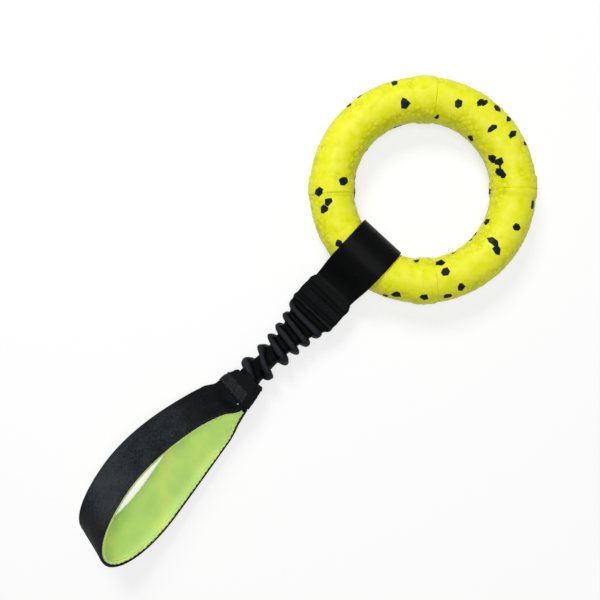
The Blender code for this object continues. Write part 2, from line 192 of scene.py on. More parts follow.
# Sewn tab
TAB_START_WIDTH = 0.0225
TAB_WALL = 0.0010
TAB_CORNER_RADIUS = 0.0014
TAB_SHOULDER_CUT = 0.0024
TAB_SHOULDER_LENGTH = 0.009
TAB_SLANT = 0.0016
TAB_SET_BACK = 0.0006
TAB_MOUTH_PINCH = 0.0006
TAB_END_ROUNDING = 0.0009
TAB_ROUNDED_LENGTHS = (0.0020, 0.004)
TAB_HEM_HEIGHT = 0.00035
TAB_HEM_EDGES = (0.0006, 0.0022, 0.0030)
TAB_ROUGHNESS = ((0.00022, 0.0016), (0.00012, 0.0008))
TAB_SMOOTH_LENGTHS = (0.003, 0.005)
TAB_STITCH_PITCH = 0.00032
TAB_STITCH_JITTER = (0.0006, 0.00015)
TAB_THREAD_SHARE = 0.40
TAB_THREAD_RISE = (0.00005, 0.00022, 0.00032)
TAB_STITCH_ROWS = ((0.0076, 0.0096), (0.0091, 0.0112), (0.0108, 0.0129), (0.0125, 0.0148))
TAB_TILT = math.radians(36.0)

# Hand loop
HANDLE_WIDTH = 0.032
HANDLE_MOUTH_WIDTH = 0.0270
HANDLE_FLARE_LENGTH = 0.026
MOUTH_SPREAD_SHARE = 0.46
MOUTH_SPREAD_LENGTH = 0.0010
HANDLE_WEBBING_THICKNESS = 0.0015
HANDLE_LENGTH_IN_TAB = 0.0098
LINING_THICKNESS = 0.0020
LINING_END_THICKNESS = 0.0006
LINING_SKIVED_SHARE = 0.12
LINING_START_SHARE = 0.020
LOOP_LENGTH = TAB_MOUTH_PLACE.x - HANDLE_LOW.x
LOOP_OPENING = 0.0464
LOOP_PARTING_POWER = 0.83
LOOP_LEAVING_SHARE = 0.08
LOOP_DRIFT = 0.0166
LOOP_OPENING_TILT = math.radians(38.0)
LOOP_MEAN_TILT = math.radians(32.8)
LOOP_TILT_SWING = math.radians(20.5)
LOOP_SETTLING_SHARE = 0.21
HANDLE_EDGE_RADIUS = 0.0005
LINING_EDGE_RADIUS = 0.0007
SEAM_INSET = 0.0022
SEAM_GROOVE_WIDTH = 0.0005
SEAM_GROOVE_DEPTH = 0.00010
RIPPLE_SIZE = 0.014
RIPPLE_HEIGHT = 0.00016
LINING_GROOVE_INSET = 0.0017
LINING_GROOVE_WIDTH = 0.0007
LINING_GROOVE_DEPTH = 0.00018
DIMPLE_SIZE = 0.011
DIMPLE_DEPTH = 0.00024
LINING_DRAWN_WIDTH = 0.0035
LINING_UNEVEN_SIZE = 0.005
SMOOTH_EDGE = (0.0025, 0.006)
LINING_SMOOTH_EDGE = (0.0020, 0.006)
# Where the webbing is painted paler as a painted sheen, as distances along it from the tab
PAINTED_SHEEN_FROM = (0.028, 0.055)
PAINTED_SHEEN_MOST = (0.078, 0.108)
PAINTED_SHEEN_TO = (0.112, 0.140)
PAINTED_SHEEN_SELVEDGE = (0.0011, 0.0005)
PAINTED_SHEEN_SHARES = (0.55, 0.45, 0.5)

# Thread: a stitch's form along it and outwards, how deep its ends sink, the gap before the first
# stitch and the share of the pitch that each fills
STITCH_FORM = ((-0.5, 0.0), (-0.42, 0.8), (0.0, 1.0), (0.42, 0.8), (0.5, 0.0))
STITCH_SINK = 0.0005
OUTER_STITCH_LEVEL = HANDLE_WEBBING_THICKNESS / 2 - 0.00012
OUTER_STITCH_GAP = 0.006
OUTER_STITCH_FILL = 0.84
LINING_STITCH_GAP = 0.012
LINING_STITCH_FILL = 0.80
LINING_THREAD_SHARE = 0.9
THREAD_END_SHARE = 0.45
LOOSE_THREAD_PLACE = (0.0012, 0.0034)
LOOSE_THREAD_CURL = 0.0004
LOOSE_THREAD_RISE = 0.00022
LOOSE_THREAD_TURN = 2.2 * math.pi

# What is stacked in the collar and through the tab
STRAND_SEAT = ELASTIC_THICKNESS / 2 + CLEARANCE + HANDLE_WEBBING_THICKNESS / 2
TAB_LINING = TAB_WALL + CLEARANCE
TAB_MOUTH_WIDTH = HANDLE_MOUTH_WIDTH + 2 * TAB_LINING
TAB_HEIGHT = 2 * STRAND_SEAT + HANDLE_WEBBING_THICKNESS + 2 * TAB_LINING
PLY_SEAT = ELASTIC_THICKNESS / 2 + CLEARANCE + STRAP_THICKNESS / 2
COLLAR_SECTION = (
    STRAP_NECK_WIDTH + 2 * (CLEARANCE + SLEEVE_WALL),
    2 * PLY_SEAT + STRAP_THICKNESS + 2 * (CLEARANCE + SLEEVE_WALL),
    COLLAR_CORNER_RADIUS,
)
VALLEY_WAIST_WIDTH = ELASTIC_WIDTH + 2 * (CLEARANCE + SLEEVE_WALL)
TUCKED_SECTION = (
    TAB_START_WIDTH - 2 * TAB_LINING - 2 * TAB_SHOULDER_CUT,
    TAB_HEIGHT - 2 * TAB_LINING,
    COLLAR_CORNER_RADIUS,
)

# Black flecks on the ring's upper side: degrees round the ring from its first band, degrees round the
# tube from its outer side, width along the ring and height round the tube in millimetres, lean in
# degrees, and taper towards the outer side (or, below zero, towards the hole)
FLECK_PLACES = (
    (24.5, 4, 2.6, 3, 0, 0), (32, 43, 3.4, 6.6, -8, 0), (39.5, 13, 4.4, 6.2, 0, -0.6),
    (47.5, 20, 4.4, 4.8, 0, 0), (54.6, 40, 3.2, 5.6, 10, 0.2), (56.4, 46, 3.2, 6.6, 8, 0),
    (41.5, 83, 3.6, 6.4, 6, -0.4), (10.6, 112, 3.8, 3.6, 20, 0), (13.4, 119, 4.4, 5.8, 25, 0.2),
    (16.6, 115, 3, 1.2, 0, 0), (20.4, 113, 5.6, 5.6, 10, 0.1), (24.4, 129, 5.2, 4.8, 20, 0),
    (47.5, 151, 4.6, 4.6, -20, 0.4), (67.5, 81, 5.6, 5.4, -6, -0.4), (78.7, 134, 2.7, 4, 30, 0.3),
    (101.5, 94, 7.8, 6.2, -6, 0.8), (104.5, 22, 4.4, 5.4, 0, 0), (111, 178, 5, 3, 0, 0),
    (123.5, 5, 4, 3, 0, 0), (131, 11, 3, 3.8, -20, 0), (143.5, 176, 1.6, 1.6, 0, 0),
    (170, 175, 4, 3.4, 0, 0), (173.4, 119, 5.8, 5, 14, 0), (180.7, 57, 4.8, 6.2, -24, 0.1),
    (187, 80, 4.8, 5.4, -16, -0.2), (191, 65, 5, 5.2, -14, 0), (212.7, 68, 4.4, 4.2, 0, 0),
    (182, 184, 5, 3, 0, 0), (250.7, 18, 3.4, 3, 0, 0), (256, 41, 7.8, 4.6, 0, -0.6),
    (271, 47, 6.8, 4.2, 0, -0.5), (283.5, 36, 5.2, 3.4, 0, 0), (292, 52, 6.6, 5.2, 0, -0.6),
    (285.7, 106, 5.2, 4.6, -14, 0), (283.7, 136, 6.2, 4.6, -12, 0.1), (265.3, 153, 3.8, 2.6, -40, 0),
    (297, 158, 2.4, 1, 0, 0), (314.5, 165, 2.6, 1, 0, 0), (320, 172, 3.6, 3, 0, 0),
    (321.3, 77, 4.8, 6.6, 14, 0.3), (324.2, 99, 4.8, 7, 6, -0.1), (333.7, 149, 3.8, 4.8, 0, 0),
    (338.7, 61, 3.8, 4.8, 0, 0), (352.3, 21, 5.4, 3.6, 0, 0), (358.8, 182, 3.6, 3, 0, 0),
)
UNDERSIDE_FLECKS = 34
UNDERSIDE_FLECK_SIZES = (2.6, 5.8)
UNDERSIDE_TURNS_DEG = (195, 345)
UNDERSIDE_JITTER = 0.35
UNDERSIDE_STRETCHES = (0.8, 1.5)
UNDERSIDE_LEANS_DEG = (-40, 40)
UNDERSIDE_TAPERS = (-0.6, 0.0, 0.0, 0.6)
FLECK_CORNER_COUNTS = (5, 6, 6)
FLECK_FULLNESS = 1.17
FLECK_REACHES = (0.88, 1.22)
FLECK_FIRST_CORNER = 0.4
FLECK_CORNER_JITTER = 0.25
FLECK_EDGE_STEPS = 4
SIGHT_SHARES = (0.90, 1.04)
SIGHT_STEPS = 400
# A chip's form from its middle outwards: share of its reach, and height in fleck lifts
FLECK_DOME = ((0.25, 1.0), (0.5, 0.95), (0.75, 0.85), (0.93, 0.6), (1.0, 0.0), (1.0, -4.0))

# Photograph's view: straight down, the ring to the upper right
CAMERA_PLACE = Vector((0.011675, 0.01006, 0.5))
CAMERA_TURN_DEG = -47.3
CAMERA_LENS_MM = 44.88
FLOOR_REACH = 4.0
FLOOR_COLOUR = (0.92, 0.92, 0.92, 1.0)
FLOOR_GLOW_SHARE = 0.70
WORLD_LIGHT = 0.24
# Each lamp's name, place, width and power
LAMPS = (("key", (0.40, 0.78, 1.0), 0.45, 10.5), ("overhead", (-0.05, -0.02, 1.3), 0.6, 6.8))


class TugToySizes(bpy.types.PropertyGroup):
    """Sizes of the toy's fine surface."""

    pebble_height: FloatProperty(
        name="Pebble Height", default=0.00034, subtype="DISTANCE", unit="LENGTH",
        description="How far pebbles rise on the ring's inner and outer sides",
    )
    pebble_size: FloatProperty(
        name="Pebble Size", default=0.0034, subtype="DISTANCE", unit="LENGTH",
        description="Distance between neighbouring pebbles",
    )
    swell_height: FloatProperty(
        name="Swell Height", default=0.00018, subtype="DISTANCE", unit="LENGTH",
        description="How far soft swells rise all over the ring",
    )
    fleck_lift: FloatProperty(
        name="Fleck Lift", default=0.00012, subtype="DISTANCE", unit="LENGTH",
        description="How far a fleck's middle stands proud",
    )
    weave_pitch: FloatProperty(
        name="Weave Pitch", default=0.0011, subtype="DISTANCE", unit="LENGTH",
        description="Distance between ribs of the hand loop's webbing",
    )
    wrinkle_height: FloatProperty(
        name="Wrinkle Height", default=0.00032, subtype="DISTANCE", unit="LENGTH",
        description="How far wrinkles rise on the bungee's folds",
    )
    thread_thickness: FloatProperty(
        name="Thread Thickness", default=0.00045, subtype="DISTANCE", unit="LENGTH",
        description="Thickness of the sewing thread",
    )
    stitch_pitch: FloatProperty(
        name="Stitch Pitch", default=0.0033, subtype="DISTANCE", unit="LENGTH",
        description="Distance between the hand loop's stitches",
    )
    edge_inset: FloatProperty(
        name="Lining Inset", default=0.00055, subtype="DISTANCE", unit="LENGTH",
        description="How far the lining ends inside the webbing",
    )
    scallop_depth: FloatProperty(
        name="Scallop Depth", default=0.00040, subtype="DISTANCE", unit="LENGTH",
        description="How far a stitch draws in the lining's edge",
    )
    random_seed: IntProperty(
        name="Random Seed", default=7,
        description="Chooses the flecks' outlines and the flecks on the ring's underside",
    )


class TugToyColours(bpy.types.PropertyGroup):
    """Colours of the toy's materials."""

    rubber: FloatVectorProperty(
        name="Rubber", default=(0.715, 0.735, 0.006), subtype="COLOR",
        description="Neon yellow of the ring",
    )
    # The paler yellow is a painted highlight on the ring's swells, also reached by random paler mottling
    rubber_highlight_and_mottle: FloatVectorProperty(
        name="Rubber Ripples", default=(0.775, 0.755, 0.055), subtype="COLOR",
        description="Paler yellow of its ripples",
    )
    fleck: FloatVectorProperty(
        name="Flecks", default=(0.006, 0.0085, 0.0085), subtype="COLOR",
        description="Near black of the flecks",
    )
    satin: FloatVectorProperty(
        name="Ring Strap", default=(0.0014, 0.0016, 0.0020), subtype="COLOR",
        description="Black of the satin strap",
    )
    bungee: FloatVectorProperty(
        name="Bungee", default=(0.0020, 0.0023, 0.0026), subtype="COLOR",
        description="Black of the ruched sleeve",
    )
    webbing: FloatVectorProperty(
        name="Webbing", default=(0.0026, 0.0031, 0.0035), subtype="COLOR",
        description="Black of the hand loop's outside",
    )
    lime: FloatVectorProperty(
        name="Lining", default=(0.63, 0.89, 0.26), subtype="COLOR",
        description="Lime green of the lining",
    )
    lime_warm: FloatVectorProperty(
        name="Lining Patches", default=(0.80, 0.92, 0.26), subtype="COLOR",
        description="Yellower green of its patches",
    )
    thread: FloatVectorProperty(
        name="Thread", default=(0.016, 0.018, 0.021), subtype="COLOR",
        description="Charcoal of the tab's stitching",
    )
    loose_thread: FloatVectorProperty(
        name="Loose Thread", default=(0.42, 0.44, 0.42), subtype="COLOR",
        description="Pale grey of the thread's end",
    )


def smoothstep(value, low, high):
    share = np.clip((value - low) / (high - low), 0.0, 1.0)
    return share * share * (3 - 2 * share)


def before_tab(distance, reach):
    """0 to 1 between two lengths short of the tab's start."""
    return smoothstep(distance, TAB_START - reach[0], TAB_START - reach[1])


def mixed(first, second, share):
    return tuple(a + (b - a) * share for a, b in zip(first, second))


def bumps(points, size):
    """Smooth noise, about -1 to 1, at each of an array of points, for features of this size."""
    flat = np.asarray(points, float).reshape(-1, 3) / size
    values = np.array([noise.noise(point) for point in flat])
    return values.reshape(np.asarray(points).shape[:-1])


def pebbles(points, size):
    """Rounded cells with grooves between them: 0 in a groove, 1 on a pebble."""
    flat = np.asarray(points, float).reshape(-1, 3) / size
    nearest = np.array([noise.voronoi(point)[0][:2] for point in flat])
    gap = (nearest[:, 1] - nearest[:, 0]).reshape(np.asarray(points).shape[:-1])
    return smoothstep(gap, 0.0, PEBBLE_GROOVE_SHARE)


def link_piece(name, vertices, faces, material, lay=None):
    """Makes a piece of vertices and faces, its faces outwards, with each vertex's place in the cloth."""
    mesh = bpy.data.meshes.new(name)
    mesh.from_pydata(np.asarray(vertices, float).reshape(-1, 3).tolist(), [], faces)
    if lay is not None:
        attribute = mesh.attributes.new("lay", "FLOAT_VECTOR", "POINT")
        attribute.data.foreach_set("vector", np.asarray(lay, np.float32).ravel())
    mesh.shade_smooth()
    mesh.set_sharp_from_angle(angle=math.radians(SHARP_EDGE_DEG))
    mesh.materials.append(material)
    piece = bpy.data.objects.new(name, mesh)
    bpy.context.scene.collection.objects.link(piece)
    return piece


def grid_faces(rows, columns, wraps_along=False, first=0):
    """Quads of a grid whose columns close round, and whose rows close too if it wraps along."""
    index = first + np.arange(rows * columns).reshape(rows, columns)
    following = np.roll(index, -1, axis=0)
    if not wraps_along:
        index, following = index[:-1], following[:-1]
    beside, following_beside = np.roll(index, -1, axis=1), np.roll(following, -1, axis=1)
    return np.stack((index, beside, following_beside, following), axis=-1).reshape(-1, 4).tolist()


def outward(vertices, faces):
    """The faces turned over where they would enclose a volume below zero."""
    points = np.asarray(vertices, float).reshape(-1, 3)
    corners = points[np.array([face[:3] for face in faces])]
    rest = points[np.array([(face[0], face[2], face[-1]) for face in faces])]
    volume = sum((part[:, 0] * np.cross(part[:, 1], part[:, 2])).sum() for part in (corners, rest))
    return faces if volume > 0 else [face[::-1] for face in faces]


def tube_piece(name, points, material, lay=None, wraps_along=False):
    """A solid from a grid of points: rows along, columns round, its ends capped unless it wraps."""
    rows, columns = points.shape[:2]
    faces = grid_faces(rows, columns, wraps_along)
    if not wraps_along:
        last = (rows - 1) * columns
        faces += [list(range(columns))[::-1], list(range(last, last + columns))]
    return link_piece(name, points, outward(points, faces), material, lay)


def walled_piece(name, outer, inner, material, lay):
    """An open tube with a wall: an outside grid and an inside grid joined by a rim at each end."""
    rows, columns = outer.shape[:2]
    faces = grid_faces(rows, columns)
    faces += [face[::-1] for face in grid_faces(rows, columns, first=rows * columns)]
    beside = [(i + 1) % columns for i in range(columns)]
    shift = rows * columns
    last = (rows - 1) * columns
    faces += [(shift + i, shift + j, j, i) for i, j in enumerate(beside)]
    faces += [(last + i, last + j, shift + last + j, shift + last + i) for i, j in enumerate(beside)]
    points = np.concatenate((outer.reshape(-1, 3), inner.reshape(-1, 3)))
    return link_piece(name, points, outward(points, faces), material, np.concatenate((lay, lay)))


SOCKET_NAMES = {
    "specular": "Specular IOR Level",
    "sheen": "Sheen Weight",
    "sheen_roughness": "Sheen Roughness",
}


class Nodes:
    """A node tree, with short calls for its nodes."""

    def __init__(self, tree):
        self.tree = tree

    def node(self, kind, settings=(), **inputs):
        node = self.tree.nodes.new(kind)
        for key, value in dict(settings).items():
            setattr(node, key, value)
        for key, value in inputs.items():
            self.feed(node.inputs[int(key[1:]) if key[0] == "_" else key], value)
        return node

    def feed(self, socket, value):
        if isinstance(value, bpy.types.NodeSocket):
            self.tree.links.new(value, socket)
        else:
            socket.default_value = value

    def operate(self, operation, first, second):
        return self.node("ShaderNodeMath", {"operation": operation}, _0=first, _1=second).outputs[0]

    def plus(self, first, second):
        return self.operate("ADD", first, second)

    def times(self, first, second):
        return self.operate("MULTIPLY", first, second)

    def spread(self, factor, low, high):
        """A factor from 0 to 1 spread from low to high."""
        return self.node("ShaderNodeMapRange", Value=factor, _3=low, _4=high).outputs[0]

    def seen_directly(self):
        """1 where the camera, a gloss or a clear surface looks straight at the surface, else 0."""
        path = self.node("ShaderNodeLightPath").outputs
        seen = self.operate("MAXIMUM", path["Is Camera Ray"], path["Is Glossy Ray"])
        return self.operate("MAXIMUM", seen, path["Is Transmission Ray"])


class Finish(Nodes):
    """A material in the making."""

    def __init__(self, name, roughness, **sockets):
        self.material = bpy.data.materials.new(name)
        self.material.use_nodes = True
        super().__init__(self.material.node_tree)
        self.shader = self.tree.nodes["Principled BSDF"]
        self.shader.inputs["Roughness"].default_value = roughness
        for socket, value in sockets.items():
            self.shader.inputs[SOCKET_NAMES[socket]].default_value = value

    def finished(self, colour, normal, roughness=None):
        """The material, with what varies over its surface led to its shader."""
        self.feed(self.shader.inputs["Base Color"], colour)
        self.feed(self.shader.inputs["Normal"], normal)
        if roughness is not None:
            self.feed(self.shader.inputs["Roughness"], roughness)
        return self.material

    def lay(self):
        """Each point's lay in its cloth: along, across and a third value."""
        vector = self.node("ShaderNodeAttribute", {"attribute_name": "lay"}).outputs["Vector"]
        return vector, self.node("ShaderNodeSeparateXYZ", _0=vector).outputs

    def place(self):
        return self.node("ShaderNodeTexCoord").outputs["Object"]

    def stretched(self, vector, along, across):
        factors = (along, across, 0.0)
        node = self.node("ShaderNodeVectorMath", {"operation": "MULTIPLY"}, _0=vector, _1=factors)
        return node.outputs[0]

    def noise(self, vector, scale, detail=2.0, roughness=0.5):
        inputs = {"Vector": vector, "Scale": scale, "Detail": detail, "Roughness": roughness}
        return self.node("ShaderNodeTexNoise", **inputs).outputs["Fac"]

    def ramp(self, factor, places, colours):
        """A colour for each factor, from the colours at these places."""
        node = self.node("ShaderNodeValToRGB", Fac=factor)
        elements = node.color_ramp.elements
        while len(elements) < len(places):
            elements.new(0.5)
        for element, place, colour in zip(elements, places, colours):
            element.position = place
            element.color = (*colour, 1.0)
        return node.outputs["Color"]

    def bump(self, height, distance, strength=1.0, normal=None):
        node = self.node("ShaderNodeBump", Height=height, Distance=distance, Strength=strength)
        if normal is not None:
            self.feed(node.inputs["Normal"], normal)
        return node.outputs["Normal"]

    def weave(self, pitch):
        """A twill's height, 0 to 1: ribs on one slant, cut into stitches by finer ones on the other."""
        _, (along, across, _) = self.lay()
        turn = 2 * math.pi / pitch
        ribs, cuts = (
            self.operate("SINE", self.times(self.operate(slant, along, across), turn), 0.0)
            for slant in ("ADD", "SUBTRACT")
        )
        return self.spread(self.times(ribs, cuts), 0.5, 1.0)


def shades(colour, *shares):
    return [tuple(min(part * share, 1.0) for part in colour) for share in shares]


def rubber_finish(colours):
    """Satin neon rubber: a painted highlight on its swells, painted shade in the grooves between its
    pebbles and in its mould seams, random paler mottling and fine grain all over.
    """
    finish = Finish("ring_rubber", 0.45, specular=0.22)
    _, (swell, groove, _) = finish.lay()
    place = finish.place()
    cloud = finish.noise(place, 190.0, 3.0, 0.6)
    # Painted highlight where the swells rise, plus random mottling from the cloud
    pale = finish.plus(finish.times(swell, 0.6), finish.times(cloud, 0.5))
    # Painted shade in the pebbles' grooves and the mould seams
    tone = finish.operate("SUBTRACT", pale, finish.times(groove, 0.30))
    yellows = (*shades(colours.rubber, 0.82, 1.0), colours.rubber_highlight_and_mottle)
    colour = finish.ramp(tone, (0.14, 0.44, 0.80), yellows)
    coarse = finish.bump(finish.noise(place, 480.0, 3.0, 0.55), 0.00022, 0.6)
    grain = finish.bump(finish.noise(place, 1500.0), 0.00006, 0.5, coarse)
    return finish.finished(colour, grain, finish.spread(cloud, 0.36, 0.56))


def fleck_finish(colours):
    """Hard, slightly glossy chips with a faint grey cast."""
    finish = Finish("ring_flecks", 0.40, specular=0.07)
    place = finish.place()
    cloud = finish.noise(place, 420.0)
    colour = finish.ramp(cloud, (0.3, 0.7), shades(colours.fleck, 0.5, 1.6))
    grain = finish.bump(finish.noise(place, 900.0), 0.00005, 0.6)
    return finish.finished(colour, grain, finish.spread(cloud, 0.28, 0.45))


def webbing_finish(name, colour, pitch, relief, roughness, gloss, contrast=0.5, painted_highlight=0.0, brightest=3.0):
    """Black webbing: a twill weave in bump and colour, with brushed patches and, if asked, a painted
    highlight where the lay's third value is high.
    """
    finish = Finish(name, roughness, specular=gloss)
    lay, (_, _, height) = finish.lay()
    weave = finish.weave(pitch)
    cloud = finish.noise(finish.stretched(lay, 1.0, 1.0), 110.0, 3.0, 0.6)
    yarn = finish.noise(finish.stretched(lay, 1.0, 0.25), 2400.0)
    slubs = finish.noise(finish.stretched(lay, 1.0, 0.4), 1150.0)
    patches = finish.plus(finish.times(cloud, 0.30), finish.times(slubs, 0.40))
    shade = finish.plus(finish.times(weave, contrast), patches)
    # Painted highlight: the lay's third value lightens the colour up to the brightest share, on the
    # bungee's crests and the hand loop's strand middles and selvedges
    shade = finish.plus(shade, finish.times(height, painted_highlight))
    toned = finish.ramp(shade, (0.25, 0.72, 1.0), shades(colour, 0.3, 1.0, brightest))
    ribs = finish.bump(weave, relief, 0.8)
    threads = finish.bump(yarn, relief * 0.4, 0.5, ribs)
    return finish.finished(toned, threads, finish.spread(cloud, roughness - 0.08, roughness + 0.10))


def lining_finish(colours):
    """Mottled lime neoprene with a brushed knit face."""
    finish = Finish("lime_neoprene", 0.85, sheen=0.08, sheen_roughness=0.6, specular=0.12)
    lay, _ = finish.lay()
    flat = finish.stretched(lay, 1.0, 1.0)
    cloud = finish.noise(flat, 55.0, 2.0, 0.45)
    greens = (*shades(colours.lime, 0.93, 1.0), colours.lime_warm)
    colour = finish.ramp(cloud, (0.34, 0.50, 0.68), greens)
    knit = finish.noise(finish.stretched(lay, 1.0, 0.6), 2600.0)
    dents = finish.bump(finish.noise(flat, 160.0), 0.0005, 0.5)
    return finish.finished(colour, finish.bump(knit, 0.00006, 0.5, dents))


def thread_finish(name, colour, roughness=0.7):
    """Twisted sewing thread."""
    finish = Finish(name, roughness, sheen=0.05, sheen_roughness=0.4, specular=0.2)
    fibre = finish.noise(finish.place(), 3200.0)
    toned = finish.ramp(fibre, (0.3, 0.7), shades(colour, 0.6, 1.35))
    return finish.finished(toned, finish.bump(fibre, 0.00005, 0.6))


def turn_from(angle, centre_deg):
    """Signed turns from a centre to angles round the ring, the short way."""
    return (angle - math.radians(centre_deg) + math.pi) % (2 * math.pi) - math.pi


def band_rise(angle):
    """How far the ring's bands stand proud at each angle, 0 to 1: one edge crisp, the other soft."""
    rise = np.zeros_like(angle)
    half = BAND_WIDTH / 2
    for centre_deg, side in zip(BAND_ANGLES_DEG, BAND_CRISP_SIDES):
        along = side * turn_from(angle, centre_deg) * RING_MEAN_RADIUS
        crisp = 1 - smoothstep(along, half, half + BAND_CRISP_EDGE)
        rise += crisp * smoothstep(along, -half, -half + BAND_SOFT_EDGE)
    return rise


def seam_groove(angle):
    """The fine grooves where two parts of the mould met, 1 in the middle of each."""
    groove = np.zeros_like(angle)
    for seam_deg in MOULD_SEAMS_DEG:
        groove += np.exp(-((turn_from(angle, seam_deg) * RING_MEAN_RADIUS / MOULD_SEAM_WIDTH) ** 2))
    return groove


def ring_surface(angle, turn, sizes, lift=0.0, pebbled=True):
    """(points, lay) of the rubber's surface at angles round the ring and turns round its tube."""
    spine = np.stack((np.cos(angle), np.sin(angle), np.zeros_like(angle)), axis=-1)
    up = np.array((0.0, 0.0, 1.0))
    tube = spine * np.cos(turn)[..., None] + up * np.sin(turn)[..., None]
    bare = spine * RING_MEAN_RADIUS + tube * TUBE_RADIUS
    swell = bumps(bare, SWELL_SIZE) + 0.5 * bumps(bare + 1.0, SWELL_SIZE / 2)
    patch = bumps(bare + 2.0, PATCH_SIZE)
    rough = smoothstep(np.cos(turn) ** 2 + CROWN_EDGE_WANDER * patch, *CROWN_EDGE)
    rough = CROWN_PEBBLE_SHARE + (1 - CROWN_PEBBLE_SHARE) * rough
    warp = np.stack([bumps(bare + shift, PEBBLE_WARP_SIZE) for shift in (3.0, 4.0, 5.0)], axis=-1)
    pebble = pebbles(bare + PEBBLE_WARP * warp, sizes.pebble_size) if pebbled else np.ones_like(angle)
    seam = seam_groove(angle)
    rise = BAND_HEIGHT * band_rise(angle) - MOULD_SEAM_DEPTH * seam + lift
    rise = rise + sizes.pebble_height * (pebble - PEBBLE_MIDDLE_LEVEL) * rough + sizes.swell_height * swell
    points = bare + tube * rise[..., None] + np.array(RING_CENTRE)
    # The lay carries the swells and the grooves, which the rubber's colour paints with highlight and shade
    groove = (1 - pebble) * rough + seam
    return points, np.stack((swell * 0.5 + 0.5, groove, 0 * groove), axis=-1)


def ring_angles():
    """Angles round the ring, even but for the close ones at each band's crisp edge."""
    even = np.arange(RING_STATIONS) * 2 * math.pi / RING_STATIONS
    half = BAND_WIDTH / 2 / RING_MEAN_RADIUS
    crisp = BAND_CRISP_EDGE / RING_MEAN_RADIUS
    extra = [
        math.radians(centre) + side * (half + crisp * share)
        for centre, side in zip(BAND_ANGLES_DEG, BAND_CRISP_SIDES)
        for share in (-0.4, 0.0, 0.33, 0.67, 1.0, 1.4)
    ]
    extra += [
        math.radians(seam) + share * MOULD_SEAM_WIDTH / RING_MEAN_RADIUS
        for seam in MOULD_SEAMS_DEG
        for share in (-1.2, -0.6, 0.0, 0.6, 1.2)
    ]
    return np.unique(np.round(np.concatenate((even, np.mod(extra, 2 * math.pi))), 7))


def make_ring(sizes, colours):
    """The moulded ring: raised bands, mould seams, swells all over and pebbled sides."""
    turns = np.arange(TUBE_SIDES) * 2 * math.pi / TUBE_SIDES
    angle, turn = np.meshgrid(ring_angles(), turns, indexing="ij")
    points, lay = ring_surface(angle, turn, sizes)
    ring = tube_piece("ring_body", points, rubber_finish(colours), lay.reshape(-1, 3), wraps_along=True)
    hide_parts("ring")
    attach(ring, "ring")


def fleck_outline(width, height, lean, taper, dice):
    """Corners (along the ring, towards the outer side) of one angular fleck."""
    count = dice.choice(FLECK_CORNER_COUNTS)
    corners = []
    for k in range(count):
        jitter = dice.uniform(-FLECK_CORNER_JITTER, FLECK_CORNER_JITTER)
        turn = 2 * math.pi * (k + jitter) / count + FLECK_FIRST_CORNER
        reach = dice.uniform(*FLECK_REACHES)
        along = math.cos(turn) * width / 2 * reach
        outwards = math.sin(turn) * height / 2 * reach
        share = outwards / height + 0.5
        along *= 1 - (taper * share if taper > 0 else -taper * (1 - share))
        corners.append((along, outwards))
    c, s = math.cos(math.radians(lean)), math.sin(math.radians(lean))
    return [(x * c - y * s, x * s + y * c) for x, y in corners]


def seen_on_rubber(place, turn):
    """Where the line from the camera to this place, as seen from straight above, meets the rubber."""
    spine = Vector((math.cos(place), math.sin(place), 0.0))
    aim = spine * (RING_MEAN_RADIUS + TUBE_RADIUS * math.cos(turn))
    eye = CAMERA_PLACE - RING_CENTRE
    best = None
    for share in np.linspace(*SIGHT_SHARES, SIGHT_STEPS + 1)[:-1]:
        point = eye + (aim - eye) * float(share)
        reach = math.hypot(point.x, point.y) - RING_MEAN_RADIUS
        depth = math.hypot(reach, point.z) - TUBE_RADIUS
        if best is None or depth < best[0]:
            best = (depth, math.atan2(point.y, point.x), math.atan2(point.z, reach))
        if depth < 0:
            break
    return best[1:]


def fleck_body(place, turn, corners, sizes):
    """(vertices, faces) of one chip on the rubber: a low dome, sides and a back inside the ring."""
    rim = []
    for (x, y), (x_next, y_next) in zip(corners, corners[1:] + corners[:1]):
        for step in range(FLECK_EDGE_STEPS):
            share = step / FLECK_EDGE_STEPS
            rim.append((x + (x_next - x) * share, y + (y_next - y) * share))
    places = [(0.0, 0.0, 1.0)]
    for share, lift in FLECK_DOME:
        places += [(x * share, y * share, lift) for x, y in rim]
    places.append((0.0, 0.0, FLECK_DOME[-1][1]))
    local = np.array(places)
    turn = turn - local[:, 1] / TUBE_RADIUS
    reach = RING_MEAN_RADIUS + TUBE_RADIUS * np.cos(turn)
    angle = place + local[:, 0] / reach
    vertices, _ = ring_surface(angle, turn, sizes, local[:, 2] * sizes.fleck_lift, pebbled=False)
    count = len(rim)
    faces = [(0, 1 + i, 1 + (i + 1) % count) for i in range(count)]
    for level in range(len(FLECK_DOME) - 1):
        start = 1 + level * count
        for i in range(count):
            j = (i + 1) % count
            faces.append((start + i, start + count + i, start + count + j, start + j))
    start += count
    faces += [(start + count, start + (i + 1) % count, start + i) for i in range(count)]
    return vertices, outward(vertices, faces)


def merged(bodies):
    """(vertices, faces) of many small bodies as one."""
    vertices, faces = [], []
    for points, body_faces in bodies:
        faces += [[index + len(vertices) for index in face] for face in body_faces]
        vertices += points.tolist()
    return vertices, faces


